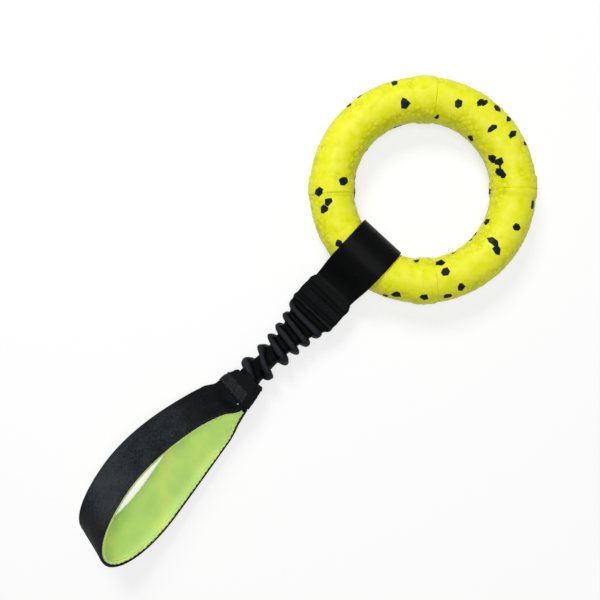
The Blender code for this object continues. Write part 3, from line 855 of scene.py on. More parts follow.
def make_flecks(sizes, colours):
    """Black chips moulded flush into the rubber, the upper ones placed one by one."""
    dice = random.Random(sizes.random_seed)
    places = list(FLECK_PLACES)
    for i in range(UNDERSIDE_FLECKS):
        around = 360 * (i + dice.uniform(-UNDERSIDE_JITTER, UNDERSIDE_JITTER)) / UNDERSIDE_FLECKS
        size = dice.uniform(*UNDERSIDE_FLECK_SIZES)
        turn = dice.uniform(*UNDERSIDE_TURNS_DEG)
        height = size * dice.uniform(*UNDERSIDE_STRETCHES)
        lean = dice.uniform(*UNDERSIDE_LEANS_DEG)
        places.append((around, turn, size, height, lean, dice.choice(UNDERSIDE_TAPERS)))
    scale = FLECK_FULLNESS / 1000
    chips = []
    for place_deg, turn_deg, width, height, lean, taper in places:
        corners = fleck_outline(width * scale, height * scale, lean, taper, dice)
        place, turn = math.radians(BAND_ANGLES_DEG[0] + place_deg), math.radians(turn_deg)
        if turn_deg < UNDERSIDE_TURNS_DEG[0]:
            place, turn = seen_on_rubber(place, turn)
        chips.append(fleck_body(place, turn, corners, sizes))
    flecks = link_piece("ring_flecks", *merged(chips), fleck_finish(colours))
    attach(flecks, "ring")


def flat_bumps(along, across, size):
    """Smooth noise over a strip that lies flat."""
    return bumps(np.stack((along, across, 0 * across), axis=-1), size)


def channel(across, half, inset, width):
    """1 in the middle of a channel that runs along each edge of a strip, at this inset from it."""
    return np.exp(-(((np.abs(across) - (half - inset)) / width) ** 2))


class Track:
    """A strip's middle line with its width and outward directions, read at any distance along it."""

    def __init__(self, points, across, out):
        self.points = np.asarray(points, float)
        self.across = np.asarray(across, float)
        self.out = np.asarray(out, float)
        steps = np.linalg.norm(np.diff(self.points, axis=0), axis=1)
        self.length_at = np.concatenate(([0.0], np.cumsum(steps)))
        self.length = float(self.length_at[-1])

    def read(self, values, along):
        if values.ndim == 1:
            return np.interp(along, self.length_at, values)
        return np.stack([np.interp(along, self.length_at, column) for column in values.T], axis=-1)

    def place(self, along, across, level):
        """Points at distances along the strip, across it and off its middle line."""
        along, across, level = np.broadcast_arrays(along, across, level)
        return (
            self.read(self.points, along)
            + self.read(self.across, along) * across[..., None]
            + self.read(self.out, along) * level[..., None]
        )


def strip_piece(name, track, half, low, high, edge_round, material, relief=None, painted_sheen=None):
    """A flat strip with round edges. half, low and high are its half width and its two faces' levels."""
    flat = np.linspace(1, -1, STRIP_STEPS + 1)
    bend = np.linspace(math.pi / 2, 3 * math.pi / 2, EDGE_STEPS + 2)[1:-1]
    one = np.ones_like(bend)
    middle = np.concatenate((flat, -one, -flat, one))
    beyond = np.concatenate((0 * flat, np.cos(bend), 0 * flat, -np.cos(bend)))
    side = np.concatenate((flat * 0 + 1, 0 * bend, flat * 0 - 1, 0 * bend))
    rise = np.concatenate((flat * 0 + 1, np.sin(bend), flat * 0 - 1, -np.sin(bend)))
    shape = track.length_at.shape
    half, low, high = (np.broadcast_to(value, shape)[:, None] for value in (half, low, high))
    across = middle * (half - edge_round) + beyond * edge_round
    level = (low + high) / 2 + rise * (high - low) / 2
    along = np.broadcast_to(track.length_at[:, None], across.shape)
    if relief is not None:
        across, level = relief(along, across, level, half, side)
    # The lay's third value is the face's side, or the painted sheen where one is given
    side_or_painted_sheen = side if painted_sheen is None else painted_sheen(along, across, half)
    lay = np.stack((along, across, np.broadcast_to(side_or_painted_sheen, across.shape)), axis=-1)
    return tube_piece(name, track.place(along, across, level), material, lay.reshape(-1, 3))


def thread_body(line, radius, sides=6):
    """(vertices, faces) of one round thread along a line of points, drawn in at both ends."""
    line = np.asarray(line, float)
    tangent = np.gradient(line, axis=0)
    tangent /= np.linalg.norm(tangent, axis=1)[:, None]
    guide = np.array((0.13, 0.31, 0.94))
    first = np.cross(tangent, guide)
    first /= np.linalg.norm(first, axis=1)[:, None]
    second = np.cross(tangent, first)
    turn = np.arange(sides) * 2 * math.pi / sides
    width = np.full(len(line), radius)
    width[[0, -1]] *= THREAD_END_SHARE
    ring = first[:, None] * np.cos(turn)[:, None] + second[:, None] * np.sin(turn)[:, None]
    points = line[:, None] + ring * width[:, None, None]
    faces = grid_faces(len(line), sides)
    last = (len(line) - 1) * sides
    faces += [list(range(sides))[::-1], list(range(last, last + sides))]
    return points.reshape(-1, 3), outward(points, faces)


def threads_piece(name, lines, radius, material, sides=6):
    return link_piece(name, *merged(thread_body(line, radius, sides) for line in lines), material)


def hermite(start, start_slope, end, end_slope, steps):
    """Points of a smooth curve, its two ends included."""
    t = np.linspace(0, 1, steps + 1)[:, None]
    start, start_slope, end, end_slope = map(np.array, (start, start_slope, end, end_slope))
    return (
        (2 * t**3 - 3 * t**2 + 1) * start
        + (t**3 - 2 * t**2 + t) * start_slope
        + (3 * t**2 - 2 * t**3) * end
        + (t**3 - t**2) * end_slope
    )


def eye_path():
    """The strap's middle line in its side view, as (distance past the tube's middle, height from it)."""
    half = STRAP_WIDTH / 2 + abs(LEASH_Y)
    stand_off = CLEARANCE + STRAP_THICKNESS / 2
    over = TUBE_RADIUS + stand_off
    hole_radius = RING_MEAN_RADIUS - TUBE_RADIUS
    shift = RING_MEAN_RADIUS - math.sqrt(RING_MEAN_RADIUS**2 - half**2)
    hole_reach = RING_MEAN_RADIUS - math.sqrt(hole_radius**2 - half**2) + stand_off - shift
    drop = LEASH_Z - RING_CENTRE.z
    leaving = math.radians(EYE_LEAVING_DEG)
    away = np.array((math.cos(leaving), math.sin(leaving)))
    along = NECK_LENGTH * np.array((-math.sin(leaving), math.cos(leaving)))
    top = hermite((NECK_LENGTH, drop + PLY_SEAT), (-NECK_LENGTH, 0.0), over * away, along, BEND_STEPS)
    crown_turns = np.linspace(leaving, math.pi / 2, 9)[1:]
    crown = np.stack((over * np.cos(crown_turns), over * np.sin(crown_turns)), axis=1)
    turns = np.linspace(0, math.pi, 2 * BEND_STEPS + 1)
    around = np.stack((-shift - hole_reach * np.sin(turns), over * np.cos(turns)), axis=1)
    straight = (NECK_LENGTH, 0.0)
    under = hermite((shift, -over), straight, (NECK_LENGTH, drop - PLY_SEAT), straight, BEND_STEPS)
    ends = NECK_LENGTH + STRAP_LENGTH_IN_COLLAR * np.linspace(1, 0, 7)[:-1]
    tail_top = np.stack((ends, np.full_like(ends, drop + PLY_SEAT)), axis=1)
    tail_under = np.stack((ends[::-1], np.full_like(ends, drop - PLY_SEAT)), axis=1)
    return np.concatenate((tail_top, top, crown, around, under, tail_under))


def strap_track():
    """The strap's track, and how far each point lies past the tube's middle."""
    path = eye_path()
    past, height = path.T
    points = np.stack((TUBE_MIDDLE.x - past, 0 * past + LEASH_Y, RING_CENTRE.z + height), axis=1)
    across = np.tile((0.0, 1.0, 0.0), (len(path), 1))
    along = np.gradient(points, axis=0)
    along /= np.linalg.norm(along, axis=1)[:, None]
    return Track(points, across, np.cross(along, across)), past


def make_ring_strap(sizes, colours):
    """One strip of satin webbing that goes round the ring's tube, both its ends in the collar."""
    track, past_tube = strap_track()
    taper = smoothstep(past_tube, NECK_LENGTH * (1 - NECK_TAPER_SHARE), NECK_LENGTH)
    half = (STRAP_WIDTH + (STRAP_NECK_WIDTH - STRAP_WIDTH) * taper) / 2

    def relief(along, across, level, half, side):
        """A selvedge stands a little proud at each edge."""
        rim = smoothstep(np.abs(across), half - STRAP_SELVEDGE[0], half - STRAP_SELVEDGE[1]) * side
        return across, level + rim * STRAP_SELVEDGE_RISE

    reach = STRAP_THICKNESS / 2
    material = webbing_finish(
        "satin_webbing", colours.satin, pitch=0.00072, relief=0.00004, roughness=0.38, gloss=0.045,
        contrast=0.3,
    )
    strap = strip_piece(
        "ring_strap_webbing", track, half, -reach, reach, STRAP_EDGE_RADIUS, material, relief
    )
    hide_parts("ring_strap")
    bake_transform(strap)


def rounded_sections(width, height, radius, fineness=SECTION_FINENESS):
    """Points (y, z) round rectangles with rounded corners, one row for each width, height and radius."""
    width, height, radius = (value[:, None] for value in np.broadcast_arrays(width, height, radius))
    reach_y, reach_z = width / 2 - radius, height / 2 - radius
    side = np.linspace(0, 1, fineness + 1)[:-1]
    bend = np.linspace(0, math.pi / 2, 4 * fineness + 1)
    flat = np.linspace(1, -1, 4 * fineness + 1)[1:-1]
    rest = np.linspace(1, 0, fineness + 1)[1:-1]
    y = [width / 2 + 0 * side, reach_y + radius * np.cos(bend), reach_y * flat]
    z = [reach_z * side, reach_z + radius * np.sin(bend), height / 2 + 0 * flat]
    y += [-reach_y - radius * np.sin(bend), -width / 2 + 0 * rest]
    z += [reach_z + radius * np.cos(bend), reach_z * rest]
    y, z = np.concatenate(y, axis=1), np.concatenate(z, axis=1)
    return np.stack((np.concatenate((y, -y), axis=1), np.concatenate((z, -z), axis=1)), axis=-1)


def placed_sections(sections, distance, tilt):
    """Turns sections about the leash's line, their +Y side going down, and sets them in their places."""
    half_way = (COLLAR_END + TAB_START) / 2
    leash_y = LEASH_Y + (TAB_Y - LEASH_Y) * smoothstep(distance, half_way, TAB_START)
    tilt = np.broadcast_to(tilt, distance.shape)[:, None]
    y, z = sections[..., 0], sections[..., 1]
    points = np.empty(sections.shape[:2] + (3,))
    points[..., 0] = RING_X - distance[:, None]
    points[..., 1] = leash_y[:, None] + y * np.cos(tilt) + z * np.sin(tilt)
    points[..., 2] = LEASH_Z - y * np.sin(tilt) + z * np.cos(tilt)
    return points


def way_round(points):
    """Each point's way round its section, from the section's first point."""
    steps = np.linalg.norm(np.diff(points, axis=1, append=points[:, :1]), axis=2)
    return np.cumsum(steps, axis=1) - steps


def away_from_line(points, distance, line_y):
    """Directions to each point from the leash's straight middle line."""
    middle = np.stack((RING_X - distance, 0 * distance + line_y, 0 * distance + LEASH_Z), axis=1)
    away = points - middle[:, None]
    return away / np.linalg.norm(away, axis=2)[..., None]


def laid(distance, points, third=0.0):
    """Each point's place in the cloth: its distance along, its way round and a third value."""
    along = np.broadcast_to(distance[:, None], points.shape[:2])
    return np.stack((along, way_round(points), third + 0 * along), axis=-1).reshape(-1, 3)


def leash_tilt(distance):
    return TAB_TILT * smoothstep(distance, COLLAR_END, TAB_START)


def blend_bungee(piece):
    """Bakes a piece of the bungee's placement into its mesh."""
    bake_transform(piece)


def sleeve_stations():
    """(distances, turns of the folds passed there) from the collar's mouth to the sleeve's end."""
    collar = np.linspace(0, COLLAR_LENGTH, 101)[:-1]
    collar_turns = FIRST_FOLD_SHARE + (collar - COLLAR_LENGTH) / COLLAR_PLEAT_PITCH
    fine = FOLD_PITCH / BEND_STEPS
    folds = np.arange(COLLAR_END, TAB_START + SLEEVE_TUCK, fine)
    widening = before_tab(folds, WIDENING)
    pitch = FOLD_PITCH + (LAST_FOLD_PITCH - FOLD_PITCH) * widening
    turns = FIRST_FOLD_SHARE + np.concatenate(([0.0], np.cumsum(fine / pitch)[:-1]))
    return np.concatenate((COLLAR_START + collar, folds)), np.concatenate((collar_turns, turns))


def bellows_outlines(distance):
    """The ridge's and the valley's width, height and corner radius at each distance."""
    passed = (distance - COLLAR_END) / (TAB_START - COLLAR_END)
    spread = (1 - passed / BELLOWS_WAIST_SHARE) ** 2
    leaving = smoothstep(distance, COLLAR_END - FOLD_PITCH / 2, COLLAR_END + FOLD_PITCH)
    entering = before_tab(distance, TUCKING)
    pleat = 2 * COLLAR_PLEAT_HEIGHT
    collar_ridge = (COLLAR_SECTION[0] + pleat, COLLAR_SECTION[1] + pleat, COLLAR_SECTION[2])
    outlines = []
    for collar, first_width, waist_width, height, radius in (
        (collar_ridge, RIDGE_FIRST_WIDTH, RIDGE_WAIST_WIDTH, RIDGE_HEIGHT, RIDGE_CORNER_RADIUS),
        (COLLAR_SECTION, VALLEY_FIRST_WIDTH, VALLEY_WAIST_WIDTH, VALLEY_HEIGHT, VALLEY_CORNER_RADIUS),
    ):
        bellows = (waist_width + (first_width - waist_width) * spread, height, radius)
        outlines.append(mixed(mixed(collar, bellows, leaving), TUCKED_SECTION, entering))
    return outlines


def sleeve_waves(distance, turns, share):
    """(wave, painted highlight) over the sleeve: the wave is 0 in a valley and 1 on a ridge, for its width
    and for its height; the painted highlight lightens the folds' crests and the collar's pleat tops, so
    the valleys stay dark as painted shade.
    """
    zeros = np.zeros((len(distance), len(share)))
    around = np.cos(2 * math.pi * share)
    wander_at = np.stack((distance[:, None] / WANDER_LENGTH + zeros, around + zeros, zeros), axis=-1)
    wander = WANDER_SHARE * bumps(wander_at, 1.0)
    uneven = UNEVENNESS[0] + UNEVENNESS[1] * bumps(wander_at * 1.7 + 5.0, 1.0)
    last = before_tab(distance, LAGGING)[:, None]
    phase = turns[:, None] - share + wander - LAST_FOLD_LAG * last * (0.5 - 0.5 * around)
    broad = (distance[:, None] - COLLAR_END) / COLLAR_PLEAT_SPREAD - share + PLEAT_WANDER * wander
    pleat = PLEAT_SHARES[0] * (1 + np.cos(2 * math.pi * broad))
    pleat = pleat + PLEAT_SHARES[1] * uneven * np.cos(2 * math.pi * phase)
    pitch = 1 / np.maximum(np.gradient(turns, distance), 1.0)
    growth = before_tab(distance, LAST_ROLL_REACH)
    roll = ROLLED_HALF_WIDTH + (LAST_ROLL_HALF_WIDTH - ROLLED_HALF_WIDTH) * growth
    roll = np.minimum(roll, MOST_ROLLED_SHARE * pitch)[:, None]
    bow = 1 - ((phase - np.round(phase)) * pitch[:, None] / roll) ** 2
    fold = ((np.sqrt(bow**2 + ROLLED_CREASE**2) + bow) / 2) ** ROLLED_FULLNESS
    ruched = smoothstep(distance, COLLAR_END - FOLD_PITCH / 2, COLLAR_END + FOLD_PITCH / 4)[:, None]
    wave = pleat + (fold - pleat) * ruched
    hem = 1 - smoothstep(distance, *(COLLAR_START + place for place in SLEEVE_HEM))[:, None]
    # Painted highlight on the fold crests and the collar's pleat tops; the valleys get none and stay dark
    # as painted shade
    painted_highlight = fold**2 * ruched + PLEAT_PAINTED_HIGHLIGHT_SHARE * np.clip(pleat, 0, 1) * (1 - ruched)
    widening = wave * (PLEAT_WIDTH_SHARE + (1 - PLEAT_WIDTH_SHARE) * ruched)
    return np.stack((widening, np.maximum(wave, hem)), axis=-1), painted_highlight


def make_bungee_sleeve(sizes, colours):
    """The ruched tube: flat pleats over the strap's ends, then folds that wind down to the tab."""
    distance, turns = sleeve_stations()
    outlines = bellows_outlines(distance)
    count = 28 * SECTION_FINENESS
    wave, painted_highlight = sleeve_waves(distance, turns, np.arange(count) / count)
    rounding = COLLAR_ROUNDING * (1 - smoothstep(distance - COLLAR_START, 0.0, COLLAR_ROUNDED_LENGTH))
    grids = []
    for inset in (0.0, SLEEVE_WALL):
        high, low = (
            rounded_sections(width - 2 * inset, height - 2 * inset, np.maximum(radius - inset, CLEARANCE))
            for width, height, radius in outlines
        )
        sections = low + (high - low) * wave
        if inset == 0:
            sections[..., 0] *= 1 - 2 * rounding[:, None] / STRAP_NECK_WIDTH
        grids.append(placed_sections(sections, distance, leash_tilt(distance)))
    outer, inner = grids
    stretched = outer * WRINKLE_STRETCH
    rough = bumps(stretched, WRINKLE_SIZES[0]) + 0.35 * bumps(stretched + 1.0, WRINKLE_SIZES[1])
    fade = smoothstep(distance, COLLAR_END - WRINKLE_FADE, COLLAR_END + WRINKLE_FADE)
    fade = COLLAR_WRINKLE_SHARE + (1 - COLLAR_WRINKLE_SHARE) * fade
    fade = fade * (1 - before_tab(distance, (WRINKLE_FADE, 0.0)))
    wrinkles = sizes.wrinkle_height * rough * fade[:, None]
    outer = outer + away_from_line(outer, distance, LEASH_Y) * wrinkles[..., None]
    # The sleeve's colour is painted paler on its crests as highlight and left dark in its valleys as shade
    material = webbing_finish(
        "bungee_webbing", colours.bungee, pitch=0.0008, relief=0.00006, roughness=0.45, gloss=0.03,
        contrast=0.2, painted_highlight=0.55, brightest=8.0,
    )
    sleeve = walled_piece("bungee_sleeve_webbing", outer, inner, material, laid(distance, outer, painted_highlight))
    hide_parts("bungee_sleeve")
    blend_bungee(sleeve)


def make_elastic(sizes, colours):
    """The covered flat elastic inside the sleeve."""
    distance = np.linspace(RING_X - ELASTIC_HIGH.x, RING_X - ELASTIC_LOW.x, 80)
    widths = np.full_like(distance, ELASTIC_WIDTH)
    sections = rounded_sections(widths, ELASTIC_THICKNESS, ELASTIC_THICKNESS * 0.3, fineness=1)
    points = placed_sections(sections, distance, leash_tilt(distance))
    material = webbing_finish(
        "elastic", colours.thread, pitch=0.0009, relief=0.00008, roughness=0.7, gloss=0.05
    )
    elastic = tube_piece("elastic_core", points, material, laid(distance, points))
    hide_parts("elastic_band")
    blend_bungee(elastic)


def tab_width(distance):
    share = (distance - TAB_START) / (TAB_MOUTH - TAB_START)
    return TAB_START_WIDTH + (TAB_MOUTH_WIDTH - TAB_START_WIDTH) * share


def make_sewn_tab(sizes, colours):
    """The stitched sleeve that holds the bungee's end and both ends of the hand loop."""
    distance = np.linspace(TAB_START, TAB_MOUTH, 70)
    width = tab_width(distance)
    outside = rounded_sections(width, TAB_HEIGHT, TAB_CORNER_RADIUS)
    walls = 2 * TAB_WALL
    inside = rounded_sections(width - walls, TAB_HEIGHT - walls, TAB_CORNER_RADIUS - TAB_WALL)
    cut = TAB_SHOULDER_CUT * (1 - smoothstep(distance, TAB_START, TAB_START + TAB_SHOULDER_LENGTH))
    for sections in (outside, inside):
        sections[..., 0] *= np.where(sections[..., 0] > 0, (1 - cut / (width / 2))[:, None], 1.0)
    past = distance - TAB_START
    pinch = TAB_MOUTH_PINCH * smoothstep(TAB_MOUTH - distance, TAB_ROUNDED_LENGTHS[1], 0.0)
    pinch = pinch + TAB_END_ROUNDING * (1 - smoothstep(past, 0.0, TAB_ROUNDED_LENGTHS[0]))
    outside[..., 0] *= (1 - pinch / (width / 2))[:, None]
    early = (TAB_MOUTH - distance) / (TAB_MOUTH - TAB_START)
    slant = early[:, None] * (TAB_SET_BACK + TAB_SLANT * outside[..., 0] / (TAB_START_WIDTH / 2))
    outer, inner = (placed_sections(sections, distance, TAB_TILT) for sections in (outside, inside))
    for wall in (outer, inner):
        wall[..., 0] -= slant
    hem = smoothstep(past, 0.0, TAB_HEM_EDGES[0]) * (1 - smoothstep(past, *TAB_HEM_EDGES[1:]))
    rough = sum(height * bumps(outer + k, size) for k, (height, size) in enumerate(TAB_ROUGHNESS))
    rise = TAB_HEM_HEIGHT * hem[:, None] + rough * smoothstep(past, *TAB_SMOOTH_LENGTHS)[:, None]
    outer = outer + away_from_line(outer, distance, TAB_Y) * rise[..., None]
    material = webbing_finish(
        "stitched_tab", colours.webbing, pitch=0.0010, relief=0.00012, roughness=0.7, gloss=0.06,
        contrast=0.6,
    )
    tab = walled_piece("sewn_tab_webbing", outer, inner, material, laid(distance, outer))
    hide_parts("sewn_tab")
    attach(tab, "tab")


def tilted_ways(tilt):
    """The directions across a strip and up from it when it is tilted about the leash's line."""
    return Vector((0.0, math.cos(tilt), -math.sin(tilt))), Vector((0.0, math.sin(tilt), math.cos(tilt)))


def make_tab_stitching(sizes, colours):
    """Dense zigzag rows across the tab's upper and lower faces."""
    dice = random.Random(sizes.random_seed + 1)
    across, upward = tilted_ways(TAB_TILT)
    end_jitter, side_jitter = TAB_STITCH_JITTER
    lines = []
    for face in (1, -1):
        for row in TAB_STITCH_ROWS:
            reach = tab_width(TAB_START + sum(row) / 2) / 2 - TAB_CORNER_RADIUS
            line = []
            for k in range(int(2 * reach / TAB_STITCH_PITCH)):
                near, far = row[k % 2], row[1 - k % 2]
                end = near + dice.uniform(-end_jitter, end_jitter)
                side = reach - TAB_STITCH_PITCH * k + dice.uniform(-side_jitter, side_jitter)
                base = Vector((RING_X - TAB_START - end, TAB_Y, LEASH_Z)) + across * side
                for share, rise in ((0.0, TAB_THREAD_RISE[0]), (0.5, dice.uniform(*TAB_THREAD_RISE[1:]))):
                    along = Vector(((near - far) * share, 0.0, 0.0)) - across * (TAB_STITCH_PITCH * share)
                    line.append(base + along + upward * face * (TAB_HEIGHT / 2 + rise))
            lines.append([tuple(point) for point in line])
    finish = thread_finish("tab_thread", colours.thread)
    stitching = threads_piece("tab_stitching", lines, sizes.thread_thickness * TAB_THREAD_SHARE, finish, 5)
    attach(stitching, "tab")


def loop_spread(turn):
    """How far a strand stands from the loop's middle line: 1 at its widest, -1 for the lower strand."""
    power = LOOP_PARTING_POWER
    widest = math.atan(math.sqrt(1 + power))
    shape = math.sin(2 * turn) * abs(math.sin(turn)) ** power
    leaving = smoothstep(math.sin(turn) ** 2, 0.0, LOOP_LEAVING_SHARE)
    return leaving * shape / (math.sin(2 * widest) * math.sin(widest) ** power)


def loop_tilt(turn):
    """The strip's tilt about the leash's line, easing from the tab's own tilt."""
    settled = smoothstep(math.sin(turn) ** 2, 0.0, LOOP_SETTLING_SHARE)
    open_tilt = LOOP_MEAN_TILT + LOOP_TILT_SWING * math.cos(turn)
    return TAB_TILT + (open_tilt - TAB_TILT) * settled


def ground_height(turn, half):
    """The height of the loop's shut middle line at which the lower strand's edge rests on the ground."""
    tilt = loop_tilt(max(turn, math.pi - turn))
    level = HANDLE_WEBBING_THICKNESS / 2 + STRAND_SEAT * abs(math.cos(turn))
    return half * math.sin(tilt) + level * math.cos(tilt)


def loop_point(turn):
    """(middle line, width direction, half width) at a turn: 0 leaves the tab above, pi returns below."""
    share = math.sin(turn) ** 2
    along = (LOOP_LENGTH - HANDLE_WEBBING_THICKNESS / 2) * share
    across, upward = tilted_ways(loop_tilt(turn))
    flare = smoothstep(along, 0.0, HANDLE_FLARE_LENGTH)
    spread = max(flare, MOUTH_SPREAD_SHARE * smoothstep(along, 0.0, MOUTH_SPREAD_LENGTH))
    half, visible_half = (
        (HANDLE_MOUTH_WIDTH + (HANDLE_WIDTH - HANDLE_MOUTH_WIDTH) * share_wide) / 2
        for share_wide in (flare, spread)
    )
    widest = math.atan(math.sqrt(1 + LOOP_PARTING_POWER))
    rise = 1.0 if share > math.sin(widest) ** 2 else abs(loop_spread(turn))
    opening = tilted_ways(LOOP_OPENING_TILT)[1] * LOOP_OPENING / 2
    seated = LEASH_Z - ground_height(0.0, HANDLE_MOUTH_WIDTH / 2)
    hung = seated * (1 - smoothstep(share, 0.0, LOOP_LEAVING_SHARE))
    point = Vector((TAB_MOUTH_PLACE.x - along, TAB_Y - LOOP_DRIFT * share, 0.0))
    point.z = ground_height(turn, half) + hung
    point += opening * (rise + loop_spread(turn))
    point += upward * STRAND_SEAT * math.cos(turn)
    return point, across, visible_half


def loop_track():
    """The webbing's track from end to end, its half width and the share of the loop's length there."""
    points, across, out, half = [], [], [], []
    for i in range(LOOP_STEPS + 1):
        turn = math.pi * i / LOOP_STEPS
        point, width_way, half_width = loop_point(turn)
        if i in (0, LOOP_STEPS):
            along = Vector((-1.0 if i == 0 else 1.0, 0.0, 0.0))
        else:
            nudge = math.pi / LOOP_STEPS / 2
            along = (loop_point(turn + nudge)[0] - loop_point(turn - nudge)[0]).normalized()
        points.append(point)
        across.append(width_way)
        out.append(width_way.cross(along).normalized())
        half.append(half_width)
    points, across, out = (np.array([tuple(v) for v in values]) for values in (points, across, out))
    share = (TAB_MOUTH_PLACE.x - points[:, 0]) / LOOP_LENGTH
    return Track(points, across, out), np.array(half, float), share


def with_ends_in_tab(track, half):
    """The same track with both ends run on into the tab."""
    tucked_half = tab_width(TAB_MOUTH - HANDLE_LENGTH_IN_TAB) / 2 - TAB_LINING
    steps = np.linspace(1, 0, 9)[:-1]
    shift = np.stack((HANDLE_LENGTH_IN_TAB * steps, 0 * steps, 0 * steps), axis=1)
    columns = []
    for values, moves in ((track.points, True), (track.across, False), (track.out, False)):
        head = values[0] + shift * moves
        tail = values[-1] + shift[::-1] * moves
        columns.append(np.concatenate((head, values, tail)))
    narrowing = half[0] + (tucked_half - half[0]) * steps
    return Track(*columns), np.concatenate((narrowing, half, narrowing[::-1]))


def blend_handle(piece):
    """Bakes a piece of the hand loop's placement into its mesh."""
    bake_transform(piece)


def make_handle_webbing(sizes, colours):
    """The hand loop's outside: one strip of black twill webbing."""
    track, half, _ = loop_track()
    track, half = with_ends_in_tab(track, half)

    def relief(along, across, level, half, side):
        """The edge seam draws a shallow groove, and the middle ripples a little."""
        groove = channel(across, half, SEAM_INSET, SEAM_GROOVE_WIDTH)
        ripple = flat_bumps(along, across, RIPPLE_SIZE) * smoothstep(half - np.abs(across), *SMOOTH_EDGE)
        return across, level + (RIPPLE_HEIGHT * ripple - SEAM_GROOVE_DEPTH * groove) * side

    def painted_sheen(along, across, half):
        """A painted sheen pales the middle of each strand, and each selvedge a little."""
        end = np.minimum(along, track.length - along)
        first, second, edge = PAINTED_SHEEN_SHARES
        strand_sheen = first * smoothstep(end, *PAINTED_SHEEN_FROM) + second * smoothstep(end, *PAINTED_SHEEN_MOST)
        strand_sheen = strand_sheen * (1 - smoothstep(end, *PAINTED_SHEEN_TO))
        selvedge = smoothstep(np.abs(across), *(half - inset for inset in PAINTED_SHEEN_SELVEDGE))
        return np.maximum(strand_sheen, edge * selvedge)

    reach = HANDLE_WEBBING_THICKNESS / 2
    # Its painted highlight share lights the painted sheen: paler mid-strand and on the selvedges
    material = webbing_finish(
        "handle_webbing", colours.webbing, sizes.weave_pitch, relief=0.00016, roughness=0.5, gloss=0.03,
        painted_highlight=0.30, brightest=13.0,
    )
    webbing = strip_piece(
        "hand_loop_webbing", track, half, -reach, reach, HANDLE_EDGE_RADIUS, material, relief, painted_sheen
    )
    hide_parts("handle_webbing")
    blend_handle(webbing)


def lining_levels(share):
    """The lining's inner and outer levels off the webbing's middle line, thin near the tab."""
    full = smoothstep(share, LINING_START_SHARE, LINING_SKIVED_SHARE)
    thickness = LINING_END_THICKNESS + (LINING_THICKNESS - LINING_END_THICKNESS) * full
    outer = -HANDLE_WEBBING_THICKNESS / 2 - CLEARANCE * 0.5
    return outer - thickness, np.full_like(share, outer)


def make_handle_lining(sizes, colours):
    """The hand loop's inside: one strip of lime neoprene whose cut edges are drawn in at each stitch."""
    track, half, share = loop_track()
    inside = share >= LINING_START_SHARE
    low, high = lining_levels(share[inside])
    lining_track = Track(track.points[inside], track.across[inside], track.out[inside])

    def relief(along, across, level, half, side):
        """Each stitch bites into the cut edge, a groove follows the seam, and the face is dimpled."""
        bite = (0.5 + 0.5 * np.cos(2 * math.pi * along / sizes.stitch_pitch)) ** 3
        uneven = flat_bumps(along, np.sign(across), LINING_UNEVEN_SIZE)
        near_edge = smoothstep(np.abs(across), half - LINING_DRAWN_WIDTH, half)
        drawn = sizes.scallop_depth * (bite + 0.6 * uneven) * near_edge
        groove = LINING_GROOVE_DEPTH * channel(across, half, LINING_GROOVE_INSET, LINING_GROOVE_WIDTH)
        dimple = DIMPLE_DEPTH * flat_bumps(along, across, DIMPLE_SIZE)
        dimple = dimple * smoothstep(half - np.abs(across), *LINING_SMOOTH_EDGE)
        return across - np.sign(across) * drawn, np.where(side < 0, level + groove - dimple, level)

    half = half[inside] - sizes.edge_inset
    material = lining_finish(colours)
    lining = strip_piece(
        "hand_loop_lining", lining_track, half, low, high, LINING_EDGE_RADIUS, material, relief
    )
    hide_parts("handle_lining")
    blend_handle(lining)


def stitch_lines(track, half, level, end_gap, pitch, fill_share, sink):
    """Short bowed threads in a row along each edge of a strip, their ends sunk in it."""
    form, rise = np.array(STITCH_FORM).T
    level = np.broadcast_to(level, track.length_at.shape)
    lines = []
    for side in (1, -1):
        for k in range(int((track.length - 2 * end_gap) / pitch)):
            along = end_gap + pitch * (k + 0.5) + form * pitch * fill_share
            across = side * (track.read(half, along) - SEAM_INSET)
            lines.append(track.place(along, across, track.read(level, along) + sink * (rise - 1)))
    return lines


def make_handle_stitching(sizes, colours):
    """Lockstitch along both edges of the hand loop, black outside and lime inside."""
    track, half, share = loop_track()
    radius = sizes.thread_thickness / 2
    pitch = sizes.stitch_pitch
    top = OUTER_STITCH_LEVEL + radius * 0.6
    lines = stitch_lines(track, half, top, OUTER_STITCH_GAP, pitch, OUTER_STITCH_FILL, STITCH_SINK)
    finish = thread_finish("black_thread", shades(colours.webbing, 1.3)[0])
    blend_handle(threads_piece("hand_loop_stitching", lines, radius, finish))
    low, _ = lining_levels(share)
    inner = low - radius * 0.8
    lines = stitch_lines(track, half, inner, LINING_STITCH_GAP, pitch, LINING_STITCH_FILL, -STITCH_SINK)
    finish = thread_finish("lime_thread", colours.lime, 0.8)
    blend_handle(threads_piece("lining_stitching", lines, radius * LINING_THREAD_SHARE, finish))


def make_loose_thread(sizes, colours):
    """The pale thread end that was left beside the tab's mouth."""
    track, half, _ = loop_track()
    radius = sizes.thread_thickness / 2
    turn = np.linspace(0, LOOSE_THREAD_TURN, 16)
    along = LOOSE_THREAD_PLACE[0] + LOOSE_THREAD_CURL * np.cos(turn)
    across = LOOSE_THREAD_PLACE[1] - half[0] + LOOSE_THREAD_CURL * np.sin(turn)
    level = HANDLE_WEBBING_THICKNESS / 2 + radius + LOOSE_THREAD_RISE * turn / math.pi
    finish = thread_finish("loose_thread", colours.loose_thread, 0.8)
    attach(threads_piece("thread_end", [track.place(along, across, level)], radius, finish), "tab")


